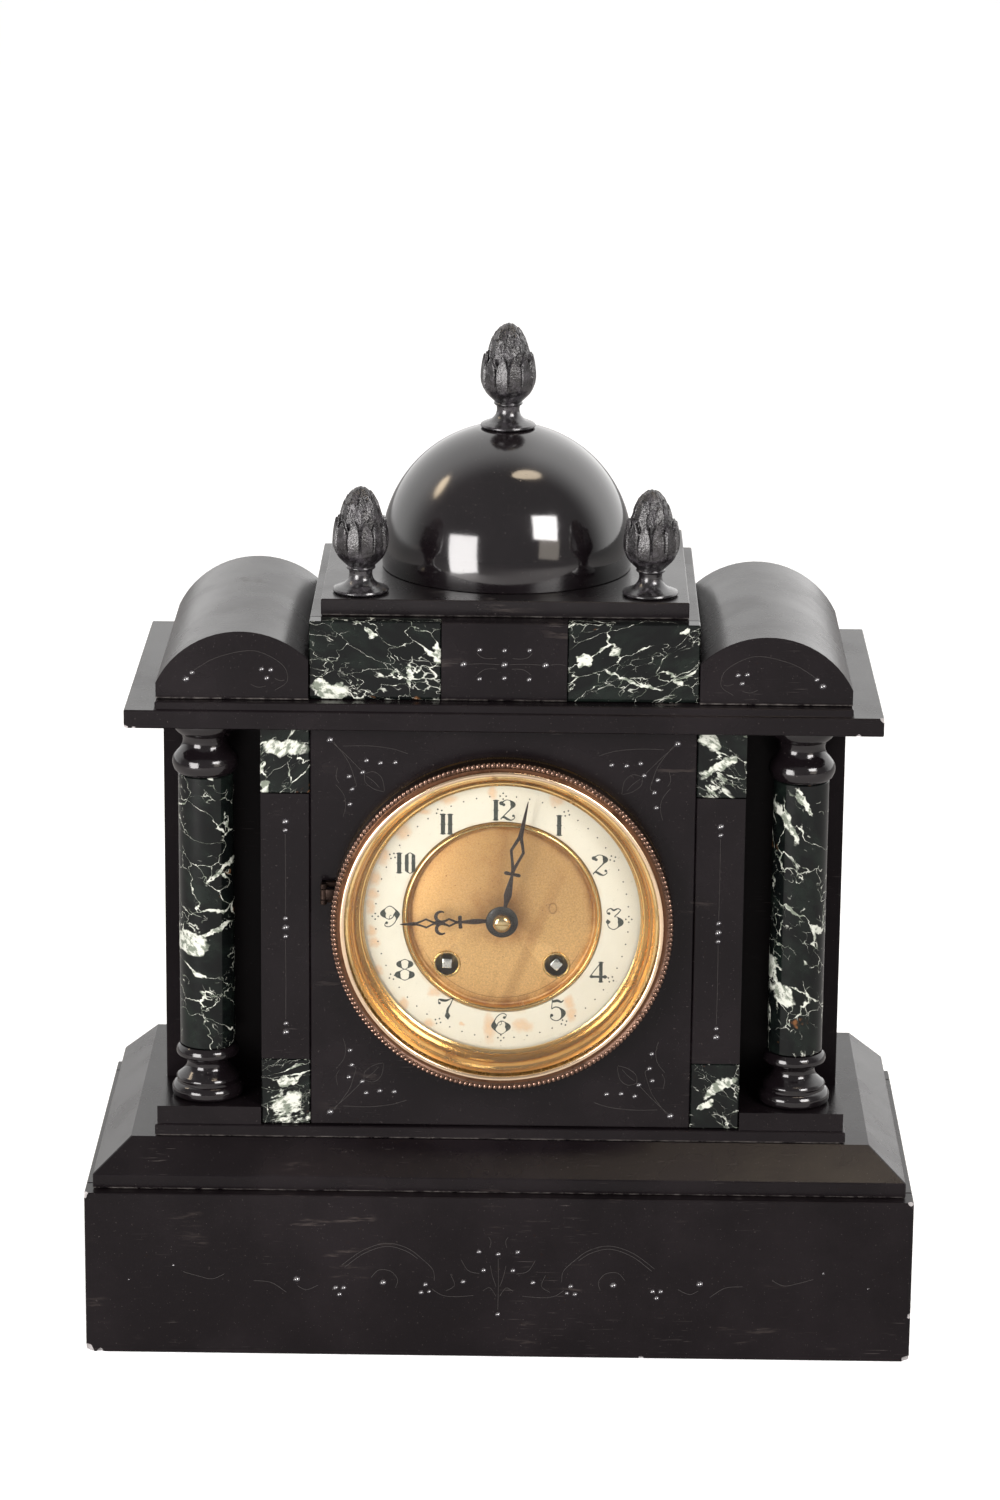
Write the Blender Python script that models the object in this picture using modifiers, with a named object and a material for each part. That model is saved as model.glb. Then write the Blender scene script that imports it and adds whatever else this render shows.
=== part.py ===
"""A mantel clock: a black slate case with green marble columns and inlays, and a round brass movement.

The clock stands on z = 0 with the middle of its plinth at the origin, and its dial faces -Y.
Sizes are in metres. In the movement, depths are counted forwards, so a depth of 0.05 lies at y = -0.05.
"""

import math

import bmesh
import bpy
from mathutils import Vector

# Joints and running gaps
JOINT = 0.0003  # cement joint between two slabs, and the seat of one piece on another
EDGE = 0.0004  # eased arris of a slab
RUNNING = 0.00005  # radial play of a pivot in its hole

# Plinth, with the bevelled slab and the step on it
PLINTH_WIDTH = 0.350
PLINTH_DEPTH = 0.166
PLINTH_HEIGHT = 0.072
PLINTH_WALL = 0.012
LEDGE_SIDE = 0.0033
LEDGE_FRONT = 0.005
BAND_HEIGHT = 0.0067
BEVEL_HEIGHT = 0.0114
BEVEL_RUN_SIDE = 0.015
BEVEL_RUN_FRONT = 0.0161
STEP_LEDGE_SIDE = 0.0102
STEP_HEIGHT = 0.005
BLOCK_HEIGHT = 0.008
BLOCK_LEDGE = 0.001
WELL_WIDTH = 0.084
WELL_FRONT = 0.030
WELL_BACK = 0.045
OVERCUT = 0.002  # how far a cutter runs past what it cuts

# Case between the step and the cornice
CASE_HEIGHT = 0.1751
CASE_LEDGE = 0.0022
PILASTER_WIDTH = 0.0205
PANEL_WIDTH = 0.161
PANEL_FRONT = 0.0596
PANEL_THICK = 0.012
RECESS_FRONT = 0.0227
RECESS_THICK = 0.010
SIDE_THICK = 0.012
BACK_FACE = 0.076
BACK_THICK = 0.010
MARBLE_HEIGHT = 0.0288
MARBLE_THICK = 0.006

# Columns
COLUMN_INSET = 0.0205  # from the outer side of its block
COLUMN_FRONT = 0.0432
SHAFT_RADIUS = 0.0117
BASE_HEIGHT = 0.0226
CAPITAL_HEIGHT = 0.0242
BASE_TORUS = 0.0153
BASE_BEAD = 0.0126
BASE_NECK = 0.0089
BASE_FLANGE = 0.0134
CAPITAL_BULGE = 0.0140
CAPITAL_NECK = 0.0096
CAPITAL_FLARE = 0.0138

# Cornice, arches, attic and top slab
CORNICE_OVERHANG = 0.01295
CORNICE_FRONT = 0.0664
CORNICE_HEIGHT = 0.0078
FILLET_SIDE_LEDGE = 0.01275
FILLET_LEDGE = 0.001
FILLET_HEIGHT = 0.0035
ARCH_TUCK_IN = 0.01105  # how far the arch's circle runs in behind the attic
ARCH_TUCK_OUT = 0.0038  # and past its own upright outer side
ARCH_DROP = 0.0102
ARCH_FRONT = 0.0610
ARCH_BACK = 0.073
ATTIC_WIDTH = 0.1615
ATTIC_FRONT = 0.0592
ATTIC_BACK = 0.080
ATTIC_HEIGHT = 0.0332
FRIEZE_WIDTH = 0.052
FRIEZE_THICK = 0.008
TOP_WIDTH = 0.1526
TOP_FRONT = 0.0502
TOP_HEIGHT = 0.0070

# Dome and finials
DOME_RADIUS = 0.0534
DOME_LIFT = 0.0074
DOME_BACK = 0.014
FINIAL_X = 0.0603
FINIAL_FRONT = 0.0362
FINIAL_FOOT = 0.0117
FINIAL_STEM = 0.0048
FINIAL_RADIUS = 0.0118
FINIAL_HEIGHT = 0.0448
CONE_START = 0.0120
SCALE_DEPTH = 0.0006
SCALES_ROUND = 8

# Round brass parts in the front panel
DIAL_LIFT = 0.0041  # the dial's centre above the middle of the front panel
BEZEL_RADIUS = 0.0724
BEZEL_DEPTH = 0.0072
BEZEL_INNER = 0.0659
ROPE_WIDTH = 0.0034
ROPE_ROUND = 0.0017
GROOVE_WIDTH = 0.0010
GROOVE_DEPTH = 0.0014
BEZEL_STEP = 0.0004
SHELL = 0.0012  # wall of the sight ring
SIGHT_GAP = 0.0013  # from the enamel's face to the sight ring's edge
SIGHT_LIP = 0.0007
SIGHT_RISE = 0.0023
SIGHT_RUN = 0.0045
SIGHT_WALL = 0.0011
RING_FLANGE = 0.0714
RING_FLANGE_THICK = 0.0031
RING_INNER = 0.0664
RING_WALL = 0.002
RING_WEB_INNER = 0.048
RING_WEB_THICK = 0.0024
SIGHT_INNER = 0.0582
GLASS_RADIUS = 0.0665
GLASS_THICK = 0.0019
GLASS_BEVEL = 0.004
GLASS_SETBACK = 0.0015
BEZEL_HINGE_OUT = 0.0022
KNUCKLE_RADIUS = 0.0019
HINGE_PIN = 0.0009
KNUCKLE_HALF = 0.008
HINGE_HALF = 0.014
BEZEL_LEAF = 0.0018
BEZEL_LEAF_REACH = 0.003

# Dial
DIAL_RECESS = 0.004  # the enamel's face behind the panel's
CHAPTER_INNER = 0.042
CHAPTER_OUTER = 0.0608
CHAPTER_THICK = 0.0019
PAN_RECESS = 0.0024
PAN_THICK = 0.0008
PAN_RIM = 0.0024
DIAL_FOOT = 0.0089
DIAL_FOOT_RADIUS = 0.0013
DIAL_FOOT_RING = 0.0442
ENAMEL_CROWN = 0.0003
ENAMEL_EDGE = 0.0001
RIM_RISE = 0.0008
RIM_ROUND = 0.0004
GROMMET_RISE = 0.0004
WINDING_X = 0.0231
WINDING_DROP = 0.0215
WINDING_HOLE = 0.0047
GROMMET_RADIUS = 0.0059
HAND_BORE = 0.0034

# Movement frame
PLATE_RADIUS = 0.052
PLATE_THICK = 0.002
PILLAR_LENGTH = 0.038
PILLAR_RADIUS = 0.003
PILLAR_RING = 0.046
STUD_RADIUS = 0.00085
STRAP_X = 0.0545
STRAP_WIDTH = 0.008
STRAP_THICK = 0.002
STRAP_BOSS = 0.003
STRAP_BOSS_LENGTH = 0.006
STRAP_SCREW = 0.0018
COCK_GAP = 0.006
COCK_THICK = 0.002
COCK_HALF = 0.0135
COCK_HEIGHT = 0.008
COCK_FOOT = 0.002
COCK_FOOT_X = 0.010

# Trains: tooth counts and modules, and a tooth's height and root as shares of its module
TOOTH_HEIGHT = 0.4
TOOTH_ROOT = 0.8
BARREL_TEETH = 72
BARREL_PINION = 12
SECOND_TEETH = 68
CENTRE_PINION = 12
CENTRE_TEETH = 84
THIRD_PINION = 7
THIRD_TEETH = 76
ESCAPE_PINION = 6
ESCAPE_TEETH = 30
PIN_WHEEL_TEETH = 60
BARREL_MODULE = 0.0005
CENTRE_MODULE = 0.00039
THIRD_MODULE = 0.00038
PIN_WHEEL_MODULE = 0.00048
ESCAPE_RADIUS = 0.0095
WHEEL_THICK = 0.0012
BARREL_RADIUS = 0.0164
BARREL_DEPTH = 0.020
GREAT_THICK = 0.002
SECOND_X = 0.020
ESCAPE_RISE = 0.0305
ANCHOR_RISE = 0.0435
CANNON_TEETH = 14
MINUTE_TEETH = 42
MINUTE_PINION = 10
HOUR_TEETH = 40
MOTION_DROP = 0.0112
STRIKE_PINS = 10
PIN_INSET = 0.0025
PIN_LENGTH = 0.0018
PIN_RADIUS = 0.0005
LEAF_OVERLAP = 0.0004  # how far a pinion's leaves run past the wheel's faces

# Stations of the wheels, from the inside of the back plate or the outside of the front plate
CENTRE_STATION = 0.0037
SECOND_STATION = 0.0075
GREAT_STATION = 0.0115
ESCAPE_STATION = 0.0205
THIRD_STATION = 0.0265
MINUTE_STATION = 0.0013
HOUR_STATION = 0.0043
CANNON_STATION = 0.0008
HOUR_HAND_STATION = 0.0037  # from the enamel's face
HAND_STEP = 0.0022  # from the hour hand to the minute hand

# Arbors
ARBOR = 0.0012
THIN_ARBOR = 0.0007
PIVOT = 0.0009
THIN_PIVOT = 0.0005
BARREL_ARBOR = 0.003
BARREL_PIVOT = 0.002
WINDING_SQUARE = 0.0042
CENTRE_ARBOR = 0.00115
CANNON_RADIUS = 0.00185
PIPE_RADIUS = 0.0029

# Hands
MINUTE_HAND = 0.054
HOUR_HAND = 0.0430
MINUTE_HALF = 0.0036  # half of its widest part
HOUR_HALF = 0.0060
MINUTE_ANGLE = 11.3  # degrees clockwise of twelve
HOUR_ANGLE = 267.0
HAND_THICK = 0.0006
COLLET_RADIUS = 0.0068
HOUR_HUB = 0.0052
NUT_RADIUS = 0.0038
NUT_HEIGHT = 0.0026
NUT_STAND = 0.0010  # from the minute hand to the nut
COLLET_RISE = 0.0004
SLEEVE_RISE = 0.0007
PIPE_RISE = 0.0004
HUB_DEPTH = 0.0003

# Pendulum, crutch, bell and hammer
PENDULUM_LENGTH = 0.154
PENDULUM_BEHIND = 0.012
BOB_RADIUS = 0.019
BOB_HALF = 0.0045
ROD_RADIUS = 0.0012
CRUTCH_LENGTH = 0.042
CRUTCH_WIDTH = 0.0028
CRUTCH_THICK = 0.0016
CRUTCH_STAND = 0.0014  # from the back plate
FORK_PLAY = 0.0004
FORK_WALL = 0.0016
FORK_HEIGHT = 0.0024
FORK_REACH = 0.003  # how far the fork runs past the pendulum's plane
BOSS_PROUD = 0.0002  # how far a boss stands out of its arm
PALLET_X = 0.0067
PALLET_TIP = 0.0020
PALLET_RISE = 0.0080  # the pallets above the escape wheel's centre
PALLET_OUTER = 0.0088
PALLET_HUB = 0.0028
PALLET_OVERLAP = 0.0008
EYE_RADIUS = 0.0026
EYE_THICK = 0.002
SUSPENSION_PIN = 0.0030  # how far the pin runs past the pendulum's plane
RATING_NUT = 0.003
ROD_TAIL = 0.004
BELL_X = 0.010
BELL_DROP = 0.008
BELL_RADIUS = 0.034
BELL_DEPTH = 0.0212
BELL_WALL = 0.0016
BELL_GAP = 0.0175  # from the back plate to the bell's mouth
BELL_POST = 0.002
HAMMER_X = -0.038
HAMMER_RISE = 0.016
HAMMER_REACH = 0.0376
HAMMER_GAP = 0.0006
HAMMER_HEAD = 0.0032
HAMMER_LENGTH = 0.009
HAMMER_STAND = 0.0020  # the arm's plane behind the bell's mouth
ARM_WIDTH = 0.0024
ARM_THICK = 0.0014
ARM_BOSS = 0.0024
TAIL_BOSS = 0.0022
TAIL_WIDTH = 0.0018
TAIL_THICK = 0.0012
TAIL_STAND = 0.0004

# Rear ring and door
REAR_HOLE = 0.062
REAR_FLANGE = 0.0665
REAR_WALL = 0.002
REAR_WEB_INNER = 0.050
REAR_WEB_THICK = 0.002
DOOR_RADIUS = 0.0645
DOOR_THICK = 0.0012
DOOR_RISE = 0.0015
DOOR_HINGE_OUT = 0.0037
REAR_LIP = 0.0017
REAR_KNUCKLE = 0.0015
REAR_PIN = 0.0007
REAR_HINGE_HALF = 0.010
DOOR_KNUCKLE_HALF = 0.005
DOOR_LEAF_REACH = 0.004
DOOR_KNOB = 0.003
DOOR_KNOB_IN = 0.0045
DOOR_KNOB_RISE = 0.0024

# Facets of round pieces
ROUND = 36
FINE = 28
TURNED = 20
SMALL = 14
TINY = 8

# Heights that follow
BEVEL_BASE = PLINTH_HEIGHT + JOINT
BEVEL_TOP = PLINTH_HEIGHT + BAND_HEIGHT + BEVEL_HEIGHT
STEP_BASE = BEVEL_TOP + JOINT
STEP_TOP = STEP_BASE + STEP_HEIGHT
BLOCK_TOP = STEP_TOP + BLOCK_HEIGHT
CASE_BASE = STEP_TOP + JOINT
CASE_TOP = CASE_BASE + CASE_HEIGHT
CORNICE_BASE = CASE_TOP + JOINT
CORNICE_TOP = CORNICE_BASE + CORNICE_HEIGHT
FILLET_TOP = CORNICE_TOP + FILLET_HEIGHT
ATTIC_BASE = FILLET_TOP + JOINT
ATTIC_TOP = ATTIC_BASE + ATTIC_HEIGHT
TOP_BASE = ATTIC_TOP + JOINT
TOP_TOP = TOP_BASE + TOP_HEIGHT
DIAL_Z = CASE_BASE + CASE_HEIGHT / 2 + DIAL_LIFT

# Widths and depths of the case that follow
BACK = PLINTH_DEPTH / 2
BEVEL_FRONT = BACK - LEDGE_FRONT - BEVEL_RUN_FRONT
STEP_HALF = PLINTH_WIDTH / 2 - LEDGE_SIDE - BEVEL_RUN_SIDE - STEP_LEDGE_SIDE
CASE_HALF = STEP_HALF - CASE_LEDGE
CENTRE_HALF = PANEL_WIDTH / 2 + JOINT / 2 + PILASTER_WIDTH
COLUMN_X = STEP_HALF - BLOCK_LEDGE - COLUMN_INSET
CORNICE_HALF = CASE_HALF + CORNICE_OVERHANG
FILLET_HALF = CORNICE_HALF - FILLET_SIDE_LEDGE
ARCH_INNER = ATTIC_WIDTH / 2 + JOINT
ARCH_OUTER = FILLET_HALF - JOINT / 2
ARCH_RADIUS = (ARCH_OUTER + ARCH_TUCK_OUT - ARCH_INNER + ARCH_TUCK_IN) / 2
ARCH_X = ARCH_OUTER + ARCH_TUCK_OUT - ARCH_RADIUS

# Depths that follow, counted forwards
FLANGE_BACK = PANEL_FRONT + JOINT
FLANGE_FRONT = FLANGE_BACK + RING_FLANGE_THICK
BEZEL_BACK = FLANGE_FRONT + JOINT
BEZEL_FRONT = BEZEL_BACK + BEZEL_DEPTH
GLASS_FRONT = BEZEL_FRONT - GLASS_SETBACK
GLASS_BACK = GLASS_FRONT - GLASS_THICK
ENAMEL = PANEL_FRONT - DIAL_RECESS
PAN_FACE = ENAMEL - PAN_RECESS
PAN_BACK = PAN_FACE - PAN_THICK
FRONT_PLATE = PAN_BACK - DIAL_FOOT
FRONT_INSIDE = FRONT_PLATE - PLATE_THICK
BACK_INSIDE = FRONT_INSIDE - PILLAR_LENGTH
BACK_PLATE = BACK_INSIDE - PLATE_THICK

# Wheel centres in the dial's plane, as x and height above its centre
BARREL_PITCH = BARREL_TEETH * BARREL_MODULE / 2
PINION_PITCH = BARREL_PINION * BARREL_MODULE / 2
SECOND_PITCH = SECOND_TEETH * BARREL_MODULE / 2
CENTRE_PITCH = CENTRE_TEETH * CENTRE_MODULE / 2
THIRD_PITCH = THIRD_TEETH * THIRD_MODULE / 2
PIN_WHEEL_PITCH = PIN_WHEEL_TEETH * PIN_WHEEL_MODULE / 2
TO_CENTRE = CENTRE_PITCH + THIRD_PINION * CENTRE_MODULE / 2
TO_ESCAPE = THIRD_PITCH + ESCAPE_PINION * THIRD_MODULE / 2
THIRD_RISE = (TO_CENTRE**2 - TO_ESCAPE**2 + ESCAPE_RISE**2) / (2 * ESCAPE_RISE)
THIRD = (-math.sqrt(TO_CENTRE**2 - THIRD_RISE**2), THIRD_RISE)
GOING_BARREL = (WINDING_X, -WINDING_DROP)
STRIKE_BARREL = (-WINDING_X, -WINDING_DROP)
SECOND_RISE = math.sqrt((BARREL_PITCH + PINION_PITCH) ** 2 - (WINDING_X - SECOND_X) ** 2) - WINDING_DROP
SECOND = (SECOND_X, SECOND_RISE)
PIN_WHEEL = (-SECOND_X, SECOND_RISE)
ESCAPE = (0.0, ESCAPE_RISE)
ANCHOR = (0.0, ANCHOR_RISE)
BELL = (BELL_X, -BELL_DROP)
HAMMER = (HAMMER_X, HAMMER_RISE)
PILLARS = [
    (PILLAR_RING * math.cos(math.radians(angle)), PILLAR_RING * math.sin(math.radians(angle)))
    for angle in (-90.0, -2.5, 55.6, 124.4, 182.5)
]

# Depths of the wheels' and hands' back faces
GREAT_WHEEL = BACK_INSIDE + GREAT_STATION
SECOND_WHEEL = BACK_INSIDE + SECOND_STATION
CENTRE_WHEEL = BACK_INSIDE + CENTRE_STATION
THIRD_WHEEL = BACK_INSIDE + THIRD_STATION
ESCAPE_WHEEL = BACK_INSIDE + ESCAPE_STATION
MINUTE_WHEEL = FRONT_PLATE + MINUTE_STATION
HOUR_WHEEL = FRONT_PLATE + HOUR_STATION
HOUR_PLANE = ENAMEL + HOUR_HAND_STATION
MINUTE_PLANE = HOUR_PLANE + HAND_STEP


def collection(name):
    group = bpy.data.collections.new(name)
    bpy.context.scene.collection.children.link(group)
    return group


def material(name, colour, roughness, metallic=0.0):
    finish = bpy.data.materials.new(name)
    finish.use_nodes = True
    shader = finish.node_tree.nodes["Principled BSDF"]
    shader.inputs["Base Color"].default_value = (*colour, 1.0)
    shader.inputs["Roughness"].default_value = roughness
    shader.inputs["Metallic"].default_value = metallic
    finish.diffuse_color = (*colour, 1.0)
    return finish


for old in list(bpy.data.objects):
    bpy.data.objects.remove(old, do_unlink=True)

PARTS = collection("marble_mantel_clock")
CUTTERS = collection("cutters")

SLATE = material("slate", (0.018, 0.017, 0.020), 0.35)
MARBLE = material("green_marble", (0.05, 0.08, 0.06), 0.25)
BRASS = material("brass", (0.72, 0.52, 0.25), 0.35, 1.0)
GILT = material("gilt", (0.80, 0.58, 0.28), 0.4, 1.0)
BRONZE = material("bezel_bronze", (0.42, 0.25, 0.13), 0.4, 1.0)
ENAMEL_WHITE = material("enamel", (0.86, 0.82, 0.70), 0.2)
BLUED = material("blued_steel", (0.02, 0.02, 0.025), 0.3, 0.8)
STEEL = material("steel", (0.45, 0.45, 0.46), 0.35, 1.0)
GLASS = material("glass", (0.9, 0.95, 0.93), 0.02)
BELL_METAL = material("bell_metal", (0.66, 0.52, 0.28), 0.3, 1.0)


def part(name, mesh, finish):
    """A finished piece, in the clock's own collection."""
    piece = bpy.data.objects.new(name, mesh)
    mesh.materials.clear()
    mesh.materials.append(finish)
    PARTS.objects.link(piece)
    return piece


def tool(mesh):
    """A shape that is cut from a piece or joined to it, and isn't a piece itself."""
    shape = bpy.data.objects.new(mesh.name, mesh)
    CUTTERS.objects.link(shape)
    shape.hide_render = True
    shape.display_type = "WIRE"
    return shape


def combine(piece, mesh, operation):
    shape = tool(mesh)
    shape.location = piece.location
    shape.rotation_euler = piece.rotation_euler
    step = piece.modifiers.new(operation.lower(), "BOOLEAN")
    step.operation = operation
    step.solver = "EXACT"
    step.object = shape


def cut(piece, *meshes):
    """Takes shapes, drawn in the piece's own frame, out of it."""
    for mesh in meshes:
        combine(piece, mesh, "DIFFERENCE")


def fuse(piece, *meshes):
    """Joins shapes, drawn in the piece's own frame, to it."""
    for mesh in meshes:
        combine(piece, mesh, "UNION")


def mesh_from(name, shape, smooth=False):
    bmesh.ops.recalc_face_normals(shape, faces=shape.faces)
    mesh = bpy.data.meshes.new(name)
    shape.to_mesh(mesh)
    shape.free()
    if smooth:
        mesh.shade_smooth()
        mesh.set_sharp_from_angle(angle=math.radians(35))
    return mesh


def box(name, x, y, z):
    """A plain box between pairs of coordinates."""
    shape = bmesh.new()
    bmesh.ops.create_cube(shape, size=1.0)
    size = Vector((x[1] - x[0], y[1] - y[0], z[1] - z[0]))
    middle = Vector((x[0] + x[1], y[0] + y[1], z[0] + z[1])) / 2
    bmesh.ops.scale(shape, vec=size, verts=shape.verts)
    bmesh.ops.translate(shape, vec=middle, verts=shape.verts)
    return mesh_from(name, shape)


def ease(piece, width=EDGE):
    """Eases the sharp arrises of a slab."""
    step = piece.modifiers.new("arris", "BEVEL")
    step.width = width
    step.segments = 1
    step.limit_method = "ANGLE"
    step.angle_limit = math.radians(40)
    return piece


def slab(name, x, y, z, finish=SLATE):
    return ease(part(name, box(name, x, y, z), finish))


def stacked(name, levels, finish=SLATE):
    """A slab whose plan changes with height: each level is its height, half width, front and back."""
    shape = bmesh.new()
    bmesh.ops.create_cube(shape, size=2.0)

    def place(corners, level):
        height, half, front, back = level
        for corner in corners:
            corner.co.x = math.copysign(half, corner.co.x)
            corner.co.y = -front if corner.co.y < 0 else back
            corner.co.z = height

    low = [corner for corner in shape.verts if corner.co.z < 0]
    high = [corner for corner in shape.verts if corner.co.z > 0]
    place(low, levels[0])
    place(high, levels[1])
    top = next(face for face in shape.faces if all(corner in high for corner in face.verts))
    for level in levels[2:]:
        made = bmesh.ops.extrude_face_region(shape, geom=[top])["geom"]
        corners = [item for item in made if isinstance(item, bmesh.types.BMVert)]
        old_top = top
        top = next(item for item in made if isinstance(item, bmesh.types.BMFace))
        if old_top.is_valid:
            bmesh.ops.delete(shape, geom=[old_top], context="FACES_ONLY")
        place(corners, level)
    return ease(part(name, mesh_from(name, shape), finish))


def circle(radius, facets, centre=(0.0, 0.0)):
    turn = 2 * math.pi / facets
    return [
        (centre[0] + radius * math.cos(turn * i), centre[1] + radius * math.sin(turn * i))
        for i in range(facets)
    ]


def arc(centre, radius, start, end, steps):
    """Points on an arc, from one angle in degrees to another."""
    points = []
    for i in range(steps + 1):
        angle = math.radians(start + (end - start) * i / steps)
        points.append((centre[0] + radius * math.cos(angle), centre[1] + radius * math.sin(angle)))
    return points


def plate(name, outlines, low, high):
    """A flat outline, with any holes, between two heights of its own Z."""
    curve = bpy.data.curves.new(name, "CURVE")
    curve.dimensions = "2D"
    curve.fill_mode = "BOTH"
    curve.extrude = (high - low) / 2
    for outline in outlines:
        spline = curve.splines.new("POLY")
        spline.points.add(len(outline) - 1)
        for point, (x, y) in zip(spline.points, outline):
            point.co = (x, y, 0.0, 1.0)
        spline.use_cyclic_u = True
    drawn = bpy.data.objects.new(name, curve)
    bpy.context.scene.collection.objects.link(drawn)
    graph = bpy.context.evaluated_depsgraph_get()
    raw = bpy.data.meshes.new_from_object(drawn.evaluated_get(graph))
    shape = bmesh.new()
    shape.from_mesh(raw)
    bmesh.ops.remove_doubles(shape, verts=shape.verts, dist=0.000002)
    bmesh.ops.translate(shape, vec=(0.0, 0.0, (low + high) / 2), verts=shape.verts)
    bpy.data.objects.remove(drawn, do_unlink=True)
    bpy.data.meshes.remove(raw)
    bpy.data.curves.remove(curve)
    return mesh_from(name, shape)


def turned(name, profile, facets=TURNED, closed=False):
    """A lathe piece: pairs of radius and height along its own Z, closed where it is a ring."""
    mesh = bpy.data.meshes.new(name)
    edges = [(i, i + 1) for i in range(len(profile) - 1)]
    if closed:
        edges.append((len(profile) - 1, 0))
    mesh.from_pydata([(radius, 0.0, height) for radius, height in profile], edges, [])
    blank = bpy.data.objects.new(name, mesh)
    bpy.context.scene.collection.objects.link(blank)
    step = blank.modifiers.new("lathe", "SCREW")
    step.axis = "Z"
    step.steps = facets
    step.render_steps = facets
    step.use_merge_vertices = True
    step.merge_threshold = 0.000002
    graph = bpy.context.evaluated_depsgraph_get()
    raw = bpy.data.meshes.new_from_object(blank.evaluated_get(graph))
    shape = bmesh.new()
    shape.from_mesh(raw)
    bmesh.ops.remove_doubles(shape, verts=shape.verts, dist=0.000002)
    bpy.data.objects.remove(blank, do_unlink=True)
    bpy.data.meshes.remove(raw)
    return mesh_from(name, shape, smooth=True)


def rod(name, radius, low, high, centre=(0.0, 0.0), facets=TINY):
    """A round bar along its own Z."""
    return plate(name, [circle(radius, facets, centre)], low, high)


def shifted(mesh, x=0.0, y=0.0, z=0.0):
    for vertex in mesh.vertices:
        vertex.co += Vector((x, y, z))
    return mesh


def facing(piece, at=(0.0, 0.0), clockwise=0.0):
    """Stands a piece in the dial's plane: its own X, Y and Z become right, up and forwards."""
    piece.location = (at[0], 0.0, DIAL_Z + at[1])
    piece.rotation_euler = (math.pi / 2, math.radians(clockwise), 0.0)
    return piece


def toothed(name, teeth, pitch, low, high, phase=0.0):
    """A wheel of sharp teeth, slim enough to run in its neighbour's gaps with play. Phase is in radians."""
    module = 2 * pitch / teeth
    outline = []
    for i in range(2 * teeth):
        radius = pitch - TOOTH_ROOT * module if i % 2 else pitch + TOOTH_HEIGHT * module
        angle = phase + math.pi * i / teeth
        outline.append((radius * math.cos(angle), radius * math.sin(angle)))
    return plate(name, [outline], low, high)


def meshing(driver, driver_teeth, follower, teeth):
    """The phase that sets a tooth gap of one wheel at a tooth of another, whose own phase is nought."""
    towards = math.atan2(follower[1] - driver[1], follower[0] - driver[0])
    return towards + math.pi + towards * driver_teeth / teeth + math.pi / teeth


def arbor(radius, pivot, front, back):
    """A turned arbor between the plates with a pivot at each end, as its profile."""
    return [
        (0.0, front),
        (pivot, front),
        (pivot, FRONT_INSIDE - JOINT),
        (radius, FRONT_INSIDE - JOINT),
        (radius, BACK_INSIDE + JOINT),
        (pivot, BACK_INSIDE + JOINT),
        (pivot, back),
        (0.0, back),
    ]


def bore(shaft, facets=TINY):
    """The radius of a faceted hole that clears a round shaft by the running gap."""
    return (shaft + RUNNING) / math.cos(math.pi / facets)


def make_plinth():
    """Four slabs, the front and back full width and the sides between them."""
    half = PLINTH_WIDTH / 2
    inner = BACK - PLINTH_WALL - JOINT
    height = (0.0, PLINTH_HEIGHT)
    slab("plinth_front", (-half, half), (-BACK, -BACK + PLINTH_WALL), height)
    slab("plinth_back", (-half, half), (BACK - PLINTH_WALL, BACK), height)
    slab("plinth_side_left", (-half, -half + PLINTH_WALL), (-inner, inner), height)
    slab("plinth_side_right", (half - PLINTH_WALL, half), (-inner, inner), height)


def make_base_slabs():
    """The bevelled slab and the step with its column blocks, both pierced for the pendulum."""
    well_x = (-WELL_WIDTH / 2, WELL_WIDTH / 2)
    well_y = (-WELL_FRONT, WELL_BACK)
    half = PLINTH_WIDTH / 2 - LEDGE_SIDE
    front = BACK - LEDGE_FRONT
    band = PLINTH_HEIGHT + BAND_HEIGHT
    levels = [
        (BEVEL_BASE, half, front, BACK),
        (band, half, front, BACK),
        (BEVEL_TOP, half - BEVEL_RUN_SIDE, BEVEL_FRONT, BACK),
    ]
    bevelled = stacked("bevel_slab", levels)
    cut(bevelled, box("bevel_well", well_x, well_y, (BEVEL_BASE - OVERCUT, BEVEL_TOP + OVERCUT)))

    depth = (-BEVEL_FRONT, BACK - BLOCK_LEDGE)
    step = slab("step_slab", (-STEP_HALF, STEP_HALF), depth, (STEP_BASE, STEP_TOP))
    inner = CENTRE_HALF + JOINT
    for side, name in ((-1, "block_left"), (1, "block_right")):
        ends = sorted((side * inner, side * (STEP_HALF - BLOCK_LEDGE)))
        depth = (-BEVEL_FRONT + BLOCK_LEDGE, -RECESS_FRONT - JOINT)
        fuse(step, box(name, ends, depth, (STEP_TOP - STEP_HEIGHT / 2, BLOCK_TOP)))
    cut(step, box("step_well", well_x, well_y, (STEP_BASE - OVERCUT, STEP_TOP + OVERCUT)))


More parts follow.
